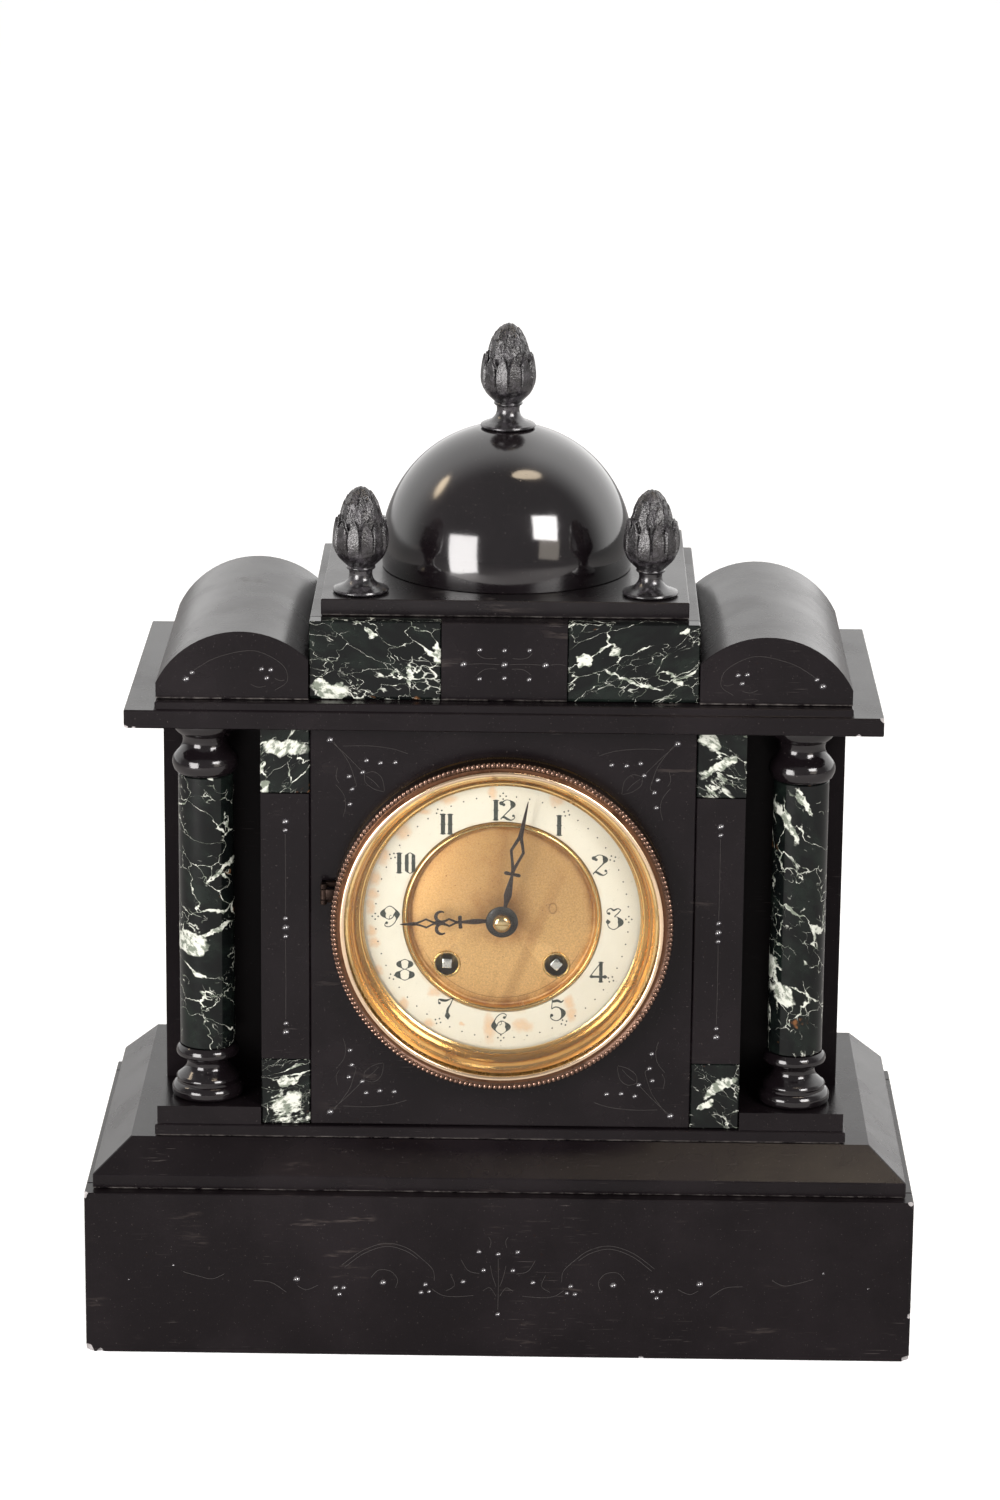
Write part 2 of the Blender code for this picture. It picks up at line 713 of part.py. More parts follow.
def make_columns():
    """Each column is a turned slate base and capital and a marble shaft."""
    base = [
        (0.0, 0.0),
        (BASE_TORUS * 0.93, 0.0),
        (BASE_TORUS, BASE_HEIGHT * 0.07),
        (BASE_TORUS, BASE_HEIGHT * 0.16),
        (BASE_TORUS * 0.92, BASE_HEIGHT * 0.25),
        (BASE_BEAD * 1.02, BASE_HEIGHT * 0.28),
        (BASE_BEAD, BASE_HEIGHT * 0.40),
        (BASE_NECK * 1.20, BASE_HEIGHT * 0.48),
        (BASE_NECK, BASE_HEIGHT * 0.59),
        (BASE_NECK * 1.07, BASE_HEIGHT * 0.71),
        (BASE_FLANGE * 0.91, BASE_HEIGHT * 0.78),
        (BASE_FLANGE, BASE_HEIGHT * 0.84),
        (BASE_FLANGE, BASE_HEIGHT * 0.92),
        (SHAFT_RADIUS * 1.02, BASE_HEIGHT),
        (0.0, BASE_HEIGHT),
    ]
    capital = [
        (0.0, 0.0),
        (SHAFT_RADIUS * 1.02, 0.0),
        (CAPITAL_BULGE * 0.94, CAPITAL_HEIGHT * 0.08),
        (CAPITAL_BULGE, CAPITAL_HEIGHT * 0.20),
        (CAPITAL_BULGE * 0.96, CAPITAL_HEIGHT * 0.30),
        (CAPITAL_NECK * 1.10, CAPITAL_HEIGHT * 0.45),
        (CAPITAL_NECK, CAPITAL_HEIGHT * 0.58),
        (CAPITAL_NECK * 1.06, CAPITAL_HEIGHT * 0.69),
        (CAPITAL_FLARE * 0.94, CAPITAL_HEIGHT * 0.85),
        (CAPITAL_FLARE, CAPITAL_HEIGHT * 0.89),
        (CAPITAL_FLARE, CAPITAL_HEIGHT),
        (0.0, CAPITAL_HEIGHT),
    ]
    foot = BLOCK_TOP + JOINT
    head = CASE_TOP - CAPITAL_HEIGHT
    shaft_foot = foot + BASE_HEIGHT + JOINT
    shaft_height = head - JOINT - shaft_foot
    shaft = [(0.0, 0.0), (SHAFT_RADIUS, 0.0), (SHAFT_RADIUS, shaft_height), (0.0, shaft_height)]
    for side, word in ((-1, "left"), (1, "right")):
        pieces = [
            ("column_base_" + word, base, foot, SLATE),
            ("column_shaft_" + word, shaft, shaft_foot, MARBLE),
            ("column_capital_" + word, capital, head, SLATE),
        ]
        for name, profile, height, finish in pieces:
            piece = part(name, turned(name, profile), finish)
            piece.location = (side * COLUMN_X, -COLUMN_FRONT, height)


def make_case():
    """The walls on the step: side walls that turn in behind the columns, posts, panels and inlays."""
    height = (CASE_BASE, CASE_TOP)
    outer = CASE_HALF
    post_outer = CENTRE_HALF
    post_inner = PANEL_WIDTH / 2 + JOINT / 2
    recess_inner = post_outer + JOINT
    recess_back = -RECESS_FRONT + RECESS_THICK
    for side, word in ((-1, "left"), (1, "right")):
        wall = [
            (side * outer, -RECESS_FRONT),
            (side * outer, BACK_FACE),
            (side * (outer - SIDE_THICK), BACK_FACE),
            (side * (outer - SIDE_THICK), recess_back),
            (side * recess_inner, recess_back),
            (side * recess_inner, -RECESS_FRONT),
        ]
        name = "side_wall_" + word
        ease(part(name, plate(name, [wall], *height), SLATE))

        across = sorted((side * post_outer, side * post_inner))
        post = slab("pilaster_" + word, across, (-PANEL_FRONT, recess_back), height)
        wide = sorted((side * (post_outer + MARBLE_THICK), side * (post_inner - MARBLE_THICK)))
        rebate = (-PANEL_FRONT - MARBLE_THICK, -PANEL_FRONT + MARBLE_THICK + JOINT)
        low = (CASE_BASE - MARBLE_THICK, CASE_BASE + MARBLE_HEIGHT + JOINT)
        high = (CASE_TOP - MARBLE_HEIGHT - JOINT, CASE_TOP + MARBLE_THICK)
        cut(post, box("rebate_low", wide, rebate, low), box("rebate_high", wide, rebate, high))
        inlay = (-PANEL_FRONT, -PANEL_FRONT + MARBLE_THICK)
        slab("marble_low_" + word, across, inlay, (CASE_BASE, CASE_BASE + MARBLE_HEIGHT), MARBLE)
        slab("marble_high_" + word, across, inlay, (CASE_TOP - MARBLE_HEIGHT, CASE_TOP), MARBLE)

    half = PANEL_WIDTH / 2 - JOINT / 2
    panel = slab("front_panel", (-half, half), (-PANEL_FRONT, -PANEL_FRONT + PANEL_THICK), height)
    hole = rod("dial_hole", RING_INNER + RING_WALL + JOINT, -BACK, BACK, facets=ROUND)
    cut_across(panel, hole)
    half = outer - SIDE_THICK - JOINT
    panel = slab("back_panel", (-half, half), (BACK_FACE - BACK_THICK, BACK_FACE), height)
    cut_across(panel, rod("rear_hole", REAR_HOLE, -BACK, BACK, facets=ROUND))


def cut_across(panel, mesh):
    """Cuts a hole from front to back at the dial's centre."""
    shape = facing(tool(mesh))
    step = panel.modifiers.new("hole", "BOOLEAN")
    step.operation = "DIFFERENCE"
    step.solver = "EXACT"
    step.object = shape


def make_cornice():
    half = CORNICE_HALF
    fillet = FILLET_HALF
    fillet_front = CORNICE_FRONT - FILLET_LEDGE
    fillet_back = BACK - FILLET_LEDGE
    levels = [
        (CORNICE_BASE, half, CORNICE_FRONT, BACK),
        (CORNICE_TOP, half, CORNICE_FRONT, BACK),
        (CORNICE_TOP, fillet, fillet_front, fillet_back),
        (FILLET_TOP, fillet, fillet_front, fillet_back),
    ]
    stacked("cornice", levels)


def make_arches():
    """A half-round block at each side of the attic, its outer foot upright for a little way."""
    low = ATTIC_BASE - DIAL_Z
    middle = low - ARCH_DROP
    outer_angle = math.degrees(math.acos((ARCH_OUTER - ARCH_X) / ARCH_RADIUS))
    inner_angle = math.degrees(math.acos((ARCH_INNER - ARCH_X) / ARCH_RADIUS))
    for side, word in ((-1, "left"), (1, "right")):
        top = arc((ARCH_X, middle), ARCH_RADIUS, outer_angle, inner_angle, 20)
        outline = [(ARCH_OUTER, low), *top, (ARCH_INNER, low)]
        outline = [(side * x, z) for x, z in outline]
        name = "arch_" + word
        ease(facing(part(name, plate(name, [outline], -ARCH_BACK, ARCH_FRONT), SLATE)))


def make_attic():
    """The block under the dome, rebated for two marble panels, and the slab on it."""
    half = ATTIC_WIDTH / 2
    inner = FRIEZE_WIDTH / 2
    height = (ATTIC_BASE, ATTIC_TOP)
    block = slab("attic_block", (-half, half), (-ATTIC_FRONT, ATTIC_BACK), height)
    inlay = (-ATTIC_FRONT, -ATTIC_FRONT + FRIEZE_THICK)
    rebate = (-ATTIC_FRONT - FRIEZE_THICK, -ATTIC_FRONT + FRIEZE_THICK + JOINT)
    tall = (ATTIC_BASE - FRIEZE_THICK, ATTIC_TOP + FRIEZE_THICK)
    for side, word in ((-1, "left"), (1, "right")):
        wide = sorted((side * inner, side * (half + FRIEZE_THICK)))
        cut(block, box("rebate_" + word, wide, rebate, tall))
        across = sorted((side * (inner + JOINT), side * half))
        slab("frieze_marble_" + word, across, inlay, height, MARBLE)
    half = TOP_WIDTH / 2
    slab("top_slab", (-half, half), (-TOP_FRONT, BACK), (TOP_BASE, TOP_TOP))


def make_dome():
    """A turned dome, a little more than half a ball, with a flat top for its finial."""
    foot = -DOME_LIFT
    flat = FINIAL_FOOT + JOINT
    start = math.asin(foot / DOME_RADIUS)
    end = math.acos(flat / DOME_RADIUS)
    profile = [(0.0, 0.0)]
    rings = 12
    for i in range(rings + 1):
        angle = start + (end - start) * i / rings
        profile.append((DOME_RADIUS * math.cos(angle), DOME_RADIUS * math.sin(angle) - foot))
    top = profile[-1][1]
    profile.append((0.0, top))
    dome = part("dome", turned("dome", profile, FINE), SLATE)
    dome.location = (0.0, DOME_BACK, TOP_TOP + JOINT)
    return TOP_TOP + JOINT + top


def finial_profile():
    """The turned form under the scales: foot, stem, cup and cone, and which rings carry scales."""
    rings = [
        (FINIAL_FOOT, 0.0),
        (FINIAL_FOOT, CONE_START * 0.13),
        (FINIAL_STEM * 1.45, CONE_START * 0.28),
        (FINIAL_STEM, CONE_START * 0.55),
        (FINIAL_STEM * 1.12, CONE_START * 0.87),
    ]
    rows = 10
    cone = []
    for i in range(rows):
        part_way = i / (rows - 1)
        height = CONE_START + (FINIAL_HEIGHT * 0.965 - CONE_START) * part_way
        swell = math.sin(math.pi * (0.16 + 0.80 * part_way ** 0.85)) ** 0.75
        cone.append((FINIAL_RADIUS * swell, height))
    return rings, cone


def make_finials(dome_top):
    """Pine cones: on each ring every other point stands out, and the next ring is turned half a scale."""
    facets = 2 * SCALES_ROUND
    rings, cone = finial_profile()
    profile = [(0.0, 0.0), *rings, *cone, (0.0, FINIAL_HEIGHT)]
    places = [
        ("finial_left", -FINIAL_X, -FINIAL_FRONT, TOP_TOP + JOINT),
        ("finial_right", FINIAL_X, -FINIAL_FRONT, TOP_TOP + JOINT),
        ("dome_finial", 0.0, DOME_BACK, dome_top + JOINT),
    ]
    heights = [height for radius, height in cone]
    for name, x, y, z in places:
        mesh = turned(name, profile, facets)
        for vertex in mesh.vertices:
            row = next((i for i, height in enumerate(heights) if abs(vertex.co.z - height) < 1e-6), None)
            if row is None:
                continue
            step = round(math.atan2(vertex.co.y, vertex.co.x) / (2 * math.pi / facets))
            flat = Vector((vertex.co.x, vertex.co.y, 0.0))
            push = SCALE_DEPTH if (step + row) % 2 == 0 else -SCALE_DEPTH
            vertex.co += flat.normalized() * push
        piece = part(name, mesh, SLATE)
        piece.location = (x, y, z)


def knuckle(name, x, depth, low, high, radius, hole=0.0):
    """A hinge knuckle on an upright axis, drawn in the dial's frame."""
    outlines = [circle(radius, TINY)]
    if hole:
        outlines.append(circle(hole, TINY))
    mesh = plate(name, outlines, low, high)
    for vertex in mesh.vertices:
        across, back, up = vertex.co
        vertex.co = (x + across, up, depth + back)
    shape = bmesh.new()
    shape.from_mesh(mesh)
    bmesh.ops.recalc_face_normals(shape, faces=shape.faces)
    shape.to_mesh(mesh)
    shape.free()
    return mesh


def make_front_ring():
    """The fixed ring in the front panel: flange, tube and the web that carries the movement."""
    outer = RING_INNER + RING_WALL
    web = FRONT_PLATE + JOINT
    profile = [
        (RING_FLANGE, FLANGE_FRONT),
        (RING_INNER, FLANGE_FRONT),
        (RING_INNER, web + RING_WEB_THICK),
        (RING_WEB_INNER, web + RING_WEB_THICK),
        (RING_WEB_INNER, web),
        (outer, web),
        (outer, FLANGE_BACK),
        (RING_FLANGE, FLANGE_BACK),
    ]
    ring = facing(part("front_ring", turned("front_ring", profile, ROUND, closed=True), BRASS))
    x = -BEZEL_RADIUS - BEZEL_HINGE_OUT
    depth = BEZEL_BACK + KNUCKLE_RADIUS
    inner = KNUCKLE_HALF + JOINT
    for low, high, word in ((-HINGE_HALF, -inner, "low"), (inner, HINGE_HALF, "high")):
        fuse(ring, knuckle("knuckle_" + word, x, depth, low, high, KNUCKLE_RADIUS))
        leaf_x = (x - KNUCKLE_RADIUS * 0.7, -RING_FLANGE + RING_WALL)
        fuse(ring, box("leaf_" + word, leaf_x, (low, high), (FLANGE_BACK, FLANGE_FRONT)))
        stem_x = (x - KNUCKLE_RADIUS * 0.7, x + KNUCKLE_RADIUS * 0.7)
        fuse(ring, box("stem_" + word, stem_x, (low, high), (FLANGE_BACK, depth)))
    fuse(ring, knuckle("hinge_pin", x, depth, -HINGE_HALF + JOINT, HINGE_HALF - JOINT, HINGE_PIN))


def make_bezel():
    """The hinged bezel: rope-edged casting with the polished sight ring behind its glass, and the glass."""
    lip = ENAMEL + SIGHT_GAP
    wall = RING_INNER - JOINT * 2
    slope = SIGHT_INNER + SIGHT_RUN
    groove = BEZEL_RADIUS - ROPE_WIDTH
    profile = [
        (BEZEL_RADIUS, BEZEL_BACK),
        (BEZEL_RADIUS, BEZEL_FRONT - ROPE_ROUND),
        (BEZEL_RADIUS - ROPE_ROUND, BEZEL_FRONT),
        (groove, BEZEL_FRONT - GROOVE_DEPTH),
        (groove - GROOVE_WIDTH, BEZEL_FRONT - GROOVE_DEPTH),
        (groove - GROOVE_WIDTH - BEZEL_STEP, BEZEL_FRONT - BEZEL_STEP),
        (BEZEL_INNER, BEZEL_FRONT - BEZEL_STEP),
        (BEZEL_INNER, GLASS_FRONT + JOINT),
        (GLASS_RADIUS + JOINT, GLASS_FRONT + JOINT),
        (GLASS_RADIUS + JOINT, GLASS_BACK - JOINT),
        (wall - SHELL / 2, GLASS_BACK - JOINT),
        (wall - SHELL / 2, lip + SIGHT_LIP + SIGHT_RISE + SIGHT_WALL),
        (slope, lip + SIGHT_LIP + SIGHT_RISE),
        (SIGHT_INNER, lip + SIGHT_LIP),
        (SIGHT_INNER, lip),
        (SIGHT_INNER + SHELL, lip),
        (wall, lip + SIGHT_RISE + SHELL),
        (wall, BEZEL_BACK),
    ]
    bezel = part("bezel", turned("bezel", profile, ROUND, closed=True), BRONZE)
    x = -BEZEL_RADIUS - BEZEL_HINGE_OUT
    depth = BEZEL_BACK + KNUCKLE_RADIUS
    bezel.location = (x, -depth, DIAL_Z)
    bezel.rotation_euler = (math.pi / 2, 0.0, 0.0)
    shifted(bezel.data, x=-x, z=-depth)
    eye = knuckle("bezel_eye", 0.0, 0.0, -KNUCKLE_HALF, KNUCKLE_HALF, KNUCKLE_RADIUS)
    reach = (0.0, -x - BEZEL_RADIUS + BEZEL_LEAF_REACH)
    depths = (-BEZEL_LEAF / 3, BEZEL_LEAF * 2 / 3)
    leaf = box("bezel_leaf", reach, (-KNUCKLE_HALF, KNUCKLE_HALF), depths)
    fuse(bezel, eye, leaf)
    cut(bezel, knuckle("bezel_bore", 0.0, 0.0, -HINGE_HALF, HINGE_HALF, bore(HINGE_PIN)))

    rim = GLASS_FRONT - GLASS_THICK / 2
    pane = [
        (0.0, GLASS_FRONT),
        (GLASS_RADIUS - GLASS_BEVEL, GLASS_FRONT),
        (GLASS_RADIUS, rim),
        (GLASS_RADIUS, GLASS_BACK),
        (0.0, GLASS_BACK),
    ]
    facing(part("bezel_glass", turned("bezel_glass", pane, ROUND), GLASS))


def make_dial():
    """The enamel chapter ring on a gilt pan, whose feet stand on the movement's front plate."""
    ring = [
        (CHAPTER_INNER, ENAMEL - ENAMEL_EDGE),
        ((CHAPTER_INNER + CHAPTER_OUTER) / 2, ENAMEL + ENAMEL_CROWN),
        (CHAPTER_OUTER, ENAMEL - ENAMEL_EDGE),
        (CHAPTER_OUTER, ENAMEL - CHAPTER_THICK),
        (CHAPTER_INNER, ENAMEL - CHAPTER_THICK),
    ]
    facing(part("chapter_ring", turned("chapter_ring", ring, ROUND, closed=True), ENAMEL_WHITE))

    rim = CHAPTER_INNER - JOINT
    seat = ENAMEL - CHAPTER_THICK - JOINT
    crest = ENAMEL + RIM_RISE
    pan = [
        (HAND_BORE, PAN_FACE),
        (rim - PAN_RIM, PAN_FACE),
        (rim - PAN_RIM + RIM_ROUND, crest),
        (rim - RIM_ROUND, crest),
        (rim, crest - RIM_ROUND),
        (rim, seat),
        (CHAPTER_OUTER, seat),
        (CHAPTER_OUTER, PAN_BACK),
        (HAND_BORE, PAN_BACK),
    ]
    dial = facing(part("dial_centre", turned("dial_centre", pan, ROUND, closed=True), GILT))
    for i in range(4):
        angle = math.radians(45 + 90 * i)
        centre = (DIAL_FOOT_RING * math.cos(angle), DIAL_FOOT_RING * math.sin(angle))
        span = (FRONT_PLATE + JOINT, PAN_BACK + PAN_THICK / 2)
        fuse(dial, rod("dial_foot", DIAL_FOOT_RADIUS, *span, centre))
    for x in (-WINDING_X, WINDING_X):
        centre = (x, -WINDING_DROP)
        span = (PAN_BACK + PAN_THICK / 2, PAN_FACE + GROMMET_RISE)
        fuse(dial, rod("grommet", GROMMET_RADIUS, *span, centre, SMALL))
        cut(dial, rod("winding_hole", WINDING_HOLE, PAN_BACK - OVERCUT, PAN_FACE + OVERCUT, centre, SMALL))


def pivot_holes(pivot_sizes):
    """The pivot holes of a plate: pairs of centre and shaft radius."""
    return [circle(bore(shaft), TINY, centre) for centre, shaft in pivot_sizes]


def make_plates():
    """Two round brass plates held apart by five pillars, with the cock and the bell's post behind."""
    shared = [
        (SECOND, PIVOT),
        (PIN_WHEEL, PIVOT),
        (THIRD, THIN_PIVOT),
        (ESCAPE, THIN_PIVOT),
    ]
    holes = pivot_holes(
        [
            *shared,
            ((0.0, 0.0), CENTRE_ARBOR),
            (GOING_BARREL, BARREL_ARBOR),
            (STRIKE_BARREL, BARREL_ARBOR),
            (ANCHOR, THIN_PIVOT),
            (HAMMER, PIVOT),
        ]
    )
    rim = circle(PLATE_RADIUS, ROUND)
    front = plate("front_plate", [rim, *holes], FRONT_INSIDE, FRONT_PLATE)
    front = facing(part("front_plate", front, BRASS))
    for centre in PILLARS:
        pillar = [
            (0.0, FRONT_INSIDE + PLATE_THICK / 2),
            (PILLAR_RADIUS, FRONT_INSIDE + PLATE_THICK / 2),
            (PILLAR_RADIUS, BACK_INSIDE + JOINT),
            (PILLAR_RADIUS / 2, BACK_INSIDE + JOINT),
            (PILLAR_RADIUS / 2, BACK_PLATE - PLATE_THICK / 2),
            (0.0, BACK_PLATE - PLATE_THICK / 2),
        ]
        fuse(front, shifted(turned("pillar", pillar, TINY), x=centre[0], y=centre[1]))
    stud_end = HOUR_WHEEL + WHEEL_THICK * 2
    stud_start = FRONT_INSIDE + PLATE_THICK / 2
    fuse(front, rod("motion_stud", STUD_RADIUS, stud_start, stud_end, (0.0, -MOTION_DROP)))

    holes = pivot_holes(
        [
            *shared,
            ((0.0, 0.0), PIVOT),
            (GOING_BARREL, BARREL_PIVOT),
            (STRIKE_BARREL, BARREL_PIVOT),
            (ANCHOR, ARBOR * 2),
            (HAMMER, ARBOR),
            *((centre, PILLAR_RADIUS / 2) for centre in PILLARS),
        ]
    )
    back = plate("back_plate", [rim, *holes], BACK_PLATE, BACK_INSIDE)
    back = facing(part("back_plate", back, BRASS))
    bridge = (BACK_PLATE - COCK_GAP - COCK_THICK, BACK_PLATE - COCK_GAP)
    for x in (-COCK_FOOT_X, COCK_FOOT_X):
        foot = (bridge[0] + COCK_THICK / 2, BACK_PLATE + PLATE_THICK / 2)
        fuse(back, rod("cock_foot", COCK_FOOT, *foot, (x, ANCHOR_RISE)))
    eye = circle(bore(THIN_PIVOT), TINY, ANCHOR)
    low = ANCHOR_RISE - COCK_HEIGHT / 2
    high = ANCHOR_RISE + COCK_HEIGHT / 2
    bar = [(-COCK_HALF, low), (COCK_HALF, low), (COCK_HALF, high), (-COCK_HALF, high)]
    fuse(back, plate("cock", [bar, eye], *bridge))
    hang = (-PENDULUM_BEHIND - SUSPENSION_PIN, bridge[0] + COCK_THICK / 5)
    fuse(back, rod("suspension_pin", PIVOT, *hang, (0.0, ANCHOR_RISE)))
    cap = (hang[0] - SUSPENSION_PIN / 3, hang[0] + SUSPENSION_PIN / 8)
    fuse(back, rod("suspension_cap", PIVOT * 1.8, *cap, (0.0, ANCHOR_RISE)))
    make_bell(back)


def make_bell(back):
    """The bell on its post, which stands on the back plate and is closed by a nut."""
    mouth = BACK_PLATE - BELL_GAP
    crown = mouth - BELL_DEPTH
    hole = bore(BELL_POST)
    outer = [
        (BELL_RADIUS, mouth),
        (BELL_RADIUS * 0.985, mouth - BELL_DEPTH * 0.22),
        (BELL_RADIUS * 0.91, mouth - BELL_DEPTH * 0.52),
        (BELL_RADIUS * 0.71, mouth - BELL_DEPTH * 0.80),
        (BELL_RADIUS * 0.36, mouth - BELL_DEPTH * 0.96),
        (hole, crown),
    ]
    inner = [(max(radius - BELL_WALL, hole), depth + BELL_WALL) for radius, depth in reversed(outer[1:])]
    inner.append((BELL_RADIUS - BELL_WALL, mouth))
    facing(part("bell", turned("bell", [*outer, *inner], FINE, closed=True), BELL_METAL), BELL)

    inside = crown + BELL_WALL
    post = [
        (0.0, BACK_PLATE + PLATE_THICK / 2),
        (BELL_POST, BACK_PLATE + PLATE_THICK / 2),
        (BELL_POST, inside + JOINT + BELL_POST),
        (BELL_POST * 2, inside + JOINT + BELL_POST),
        (BELL_POST * 2, inside + JOINT),
        (BELL_POST, inside + JOINT),
        (BELL_POST, crown - JOINT),
        (BELL_POST * 2.1, crown - JOINT),
        (BELL_POST * 2.1, crown - JOINT - BELL_POST * 1.2),
        (BELL_POST, crown - JOINT - BELL_POST * 1.9),
        (0.0, crown - JOINT - BELL_POST * 1.9),
    ]
    fuse(back, shifted(turned("bell_post", post, TINY), x=BELL[0], y=BELL[1]))


def rear_web_depth():
    """The depth of the front face of the rear ring's web, which lies just inside the back panel."""
    return -(BACK_FACE - BACK_THICK - REAR_WEB_THICK * 1.5)


def make_straps():
    """Two straps that draw the front and rear rings together, each with its screw through the rear web."""
    rear_web = rear_web_depth()
    for side, word in ((-1, "left"), (1, "right")):
        across = (-STRAP_THICK / 2, STRAP_THICK / 2)
        name = "strap_" + word
        bar = box(name, across, (-STRAP_WIDTH / 2, STRAP_WIDTH / 2), (rear_web + JOINT, FRONT_PLATE))
        strap = facing(part(name, bar, BRASS), (side * STRAP_X, 0.0))
        head = rear_web - REAR_WEB_THICK - JOINT
        fuse(strap, rod("boss", STRAP_BOSS, rear_web + JOINT, rear_web + STRAP_BOSS_LENGTH))
        fuse(strap, rod("screw", STRAP_SCREW, head - STRAP_SCREW / 3, rear_web + STRAP_BOSS_LENGTH / 2))
        fuse(strap, rod("screw_head", STRAP_BOSS, head - STRAP_SCREW, head))


def make_rear():
    """The rear ring in the back panel, and the brass door hinged on it."""
    outer = REAR_HOLE - JOINT
    inner = outer - REAR_WALL
    web = rear_web_depth()
    flange = -(BACK_FACE + JOINT)
    lip = flange - REAR_LIP
    profile = [
        (REAR_WEB_INNER, web),
        (outer, web),
        (outer, flange),
        (REAR_FLANGE, flange),
        (REAR_FLANGE, lip),
        (inner, lip),
        (inner, web - REAR_WEB_THICK),
        (REAR_WEB_INNER, web - REAR_WEB_THICK),
    ]
    ring = facing(part("rear_ring", turned("rear_ring", profile, ROUND, closed=True), BRASS))
    for x in (-STRAP_X, STRAP_X):
        through = (web - REAR_WEB_THICK - OVERCUT / 2, web + OVERCUT / 2)
        cut(ring, rod("screw_hole", bore(STRAP_SCREW), *through, (x, 0.0)))

    x = -DOOR_RADIUS - DOOR_HINGE_OUT
    depth = lip - JOINT - DOOR_THICK
    inner = DOOR_KNUCKLE_HALF + JOINT
    for low, high, word in ((-REAR_HINGE_HALF, -inner, "low"), (inner, REAR_HINGE_HALF, "high")):
        fuse(ring, knuckle("rear_knuckle_" + word, x, depth, low, high, REAR_KNUCKLE))
        leaf = (x - REAR_KNUCKLE * 0.7, -REAR_FLANGE + REAR_WALL)
        fuse(ring, box("rear_leaf_" + word, leaf, (low, high), (lip, flange)))
        stem = (x - REAR_KNUCKLE * 0.7, x + REAR_KNUCKLE * 0.7)
        fuse(ring, box("rear_stem_" + word, stem, (low, high), (depth, flange)))
    fuse(ring, knuckle("rear_pin", x, depth, JOINT - REAR_HINGE_HALF, REAR_HINGE_HALF - JOINT, REAR_PIN))

    back = lip - JOINT
    cover = [
        (0.0, back - DOOR_THICK - DOOR_RISE),
        (DOOR_RADIUS * 0.85, back - DOOR_THICK),
        (DOOR_RADIUS, back - DOOR_THICK),
        (DOOR_RADIUS, back),
        (0.0, back),
    ]
    door = part("rear_door", turned("rear_door", cover, ROUND), BRASS)
    door.location = (x, -depth, DIAL_Z)
    door.rotation_euler = (math.pi / 2, 0.0, 0.0)
    shifted(door.data, x=-x, z=-depth)
    half = DOOR_KNUCKLE_HALF
    fuse(door, knuckle("door_eye", 0.0, 0.0, -half, half, REAR_KNUCKLE))
    leaf = (0.0, -x - DOOR_RADIUS + DOOR_LEAF_REACH)
    fuse(door, box("door_leaf", leaf, (-half, half), (DOOR_THICK * 0.1, DOOR_THICK * 0.9)))
    knob = rod("door_knob", DOOR_KNOB, -DOOR_KNOB_RISE, DOOR_THICK / 2)
    fuse(door, shifted(knob, x=DOOR_RADIUS - DOOR_KNOB_IN - x))
    cut(door, knuckle("door_bore", 0.0, 0.0, -REAR_HINGE_HALF, REAR_HINGE_HALF, bore(REAR_PIN)))


def make_barrel(name, centre):
    """A spring barrel with its great wheel, and the arbor whose square faces the winding hole."""
    tip = PAN_FACE - JOINT
    profile = [
        (0.0, FRONT_PLATE - JOINT),
        (BARREL_ARBOR, FRONT_PLATE - JOINT),
        (BARREL_ARBOR, GREAT_WHEEL + GREAT_THICK + BARREL_DEPTH),
        (BARREL_RADIUS, GREAT_WHEEL + GREAT_THICK + BARREL_DEPTH),
        (BARREL_RADIUS, GREAT_WHEEL + GREAT_THICK / 2),
        (BARREL_ARBOR, GREAT_WHEEL + GREAT_THICK / 2),
        (BARREL_ARBOR, BACK_INSIDE + JOINT),
        (BARREL_PIVOT, BACK_INSIDE + JOINT),
        (BARREL_PIVOT, BACK_PLATE + JOINT),
        (0.0, BACK_PLATE + JOINT),
    ]
    barrel = facing(part(name, turned(name, profile, SMALL), BRASS), centre)
    half = WINDING_SQUARE / 2
    square = box("winding_square", (-half, half), (-half, half), (FRONT_INSIDE, tip))
    wheel = toothed("great_wheel", BARREL_TEETH, BARREL_PITCH, GREAT_WHEEL, GREAT_WHEEL + GREAT_THICK)
    fuse(barrel, wheel, square)


def make_wheel(name, centre, shaft, pivot, pinion, wheel):
    """A wheel and pinion on one arbor: each is its teeth, its pitch radius and its two depths."""
    profile = arbor(shaft, pivot, FRONT_PLATE - JOINT, BACK_PLATE + JOINT)
    piece = facing(part(name, turned(name, profile, TINY), BRASS), centre)
    fuse(piece, toothed("pinion", *pinion), toothed("wheel", *wheel))
    return piece


def leaves(teeth, module, wheel, thick, phase):
    """A pinion that meets a wheel: its leaves run a little past the wheel's faces."""
    return (teeth, teeth * module / 2, wheel - LEAF_OVERLAP, wheel + thick + LEAF_OVERLAP, phase)


def disc(teeth, module, low):
    return (teeth, teeth * module / 2, low, low + WHEEL_THICK)


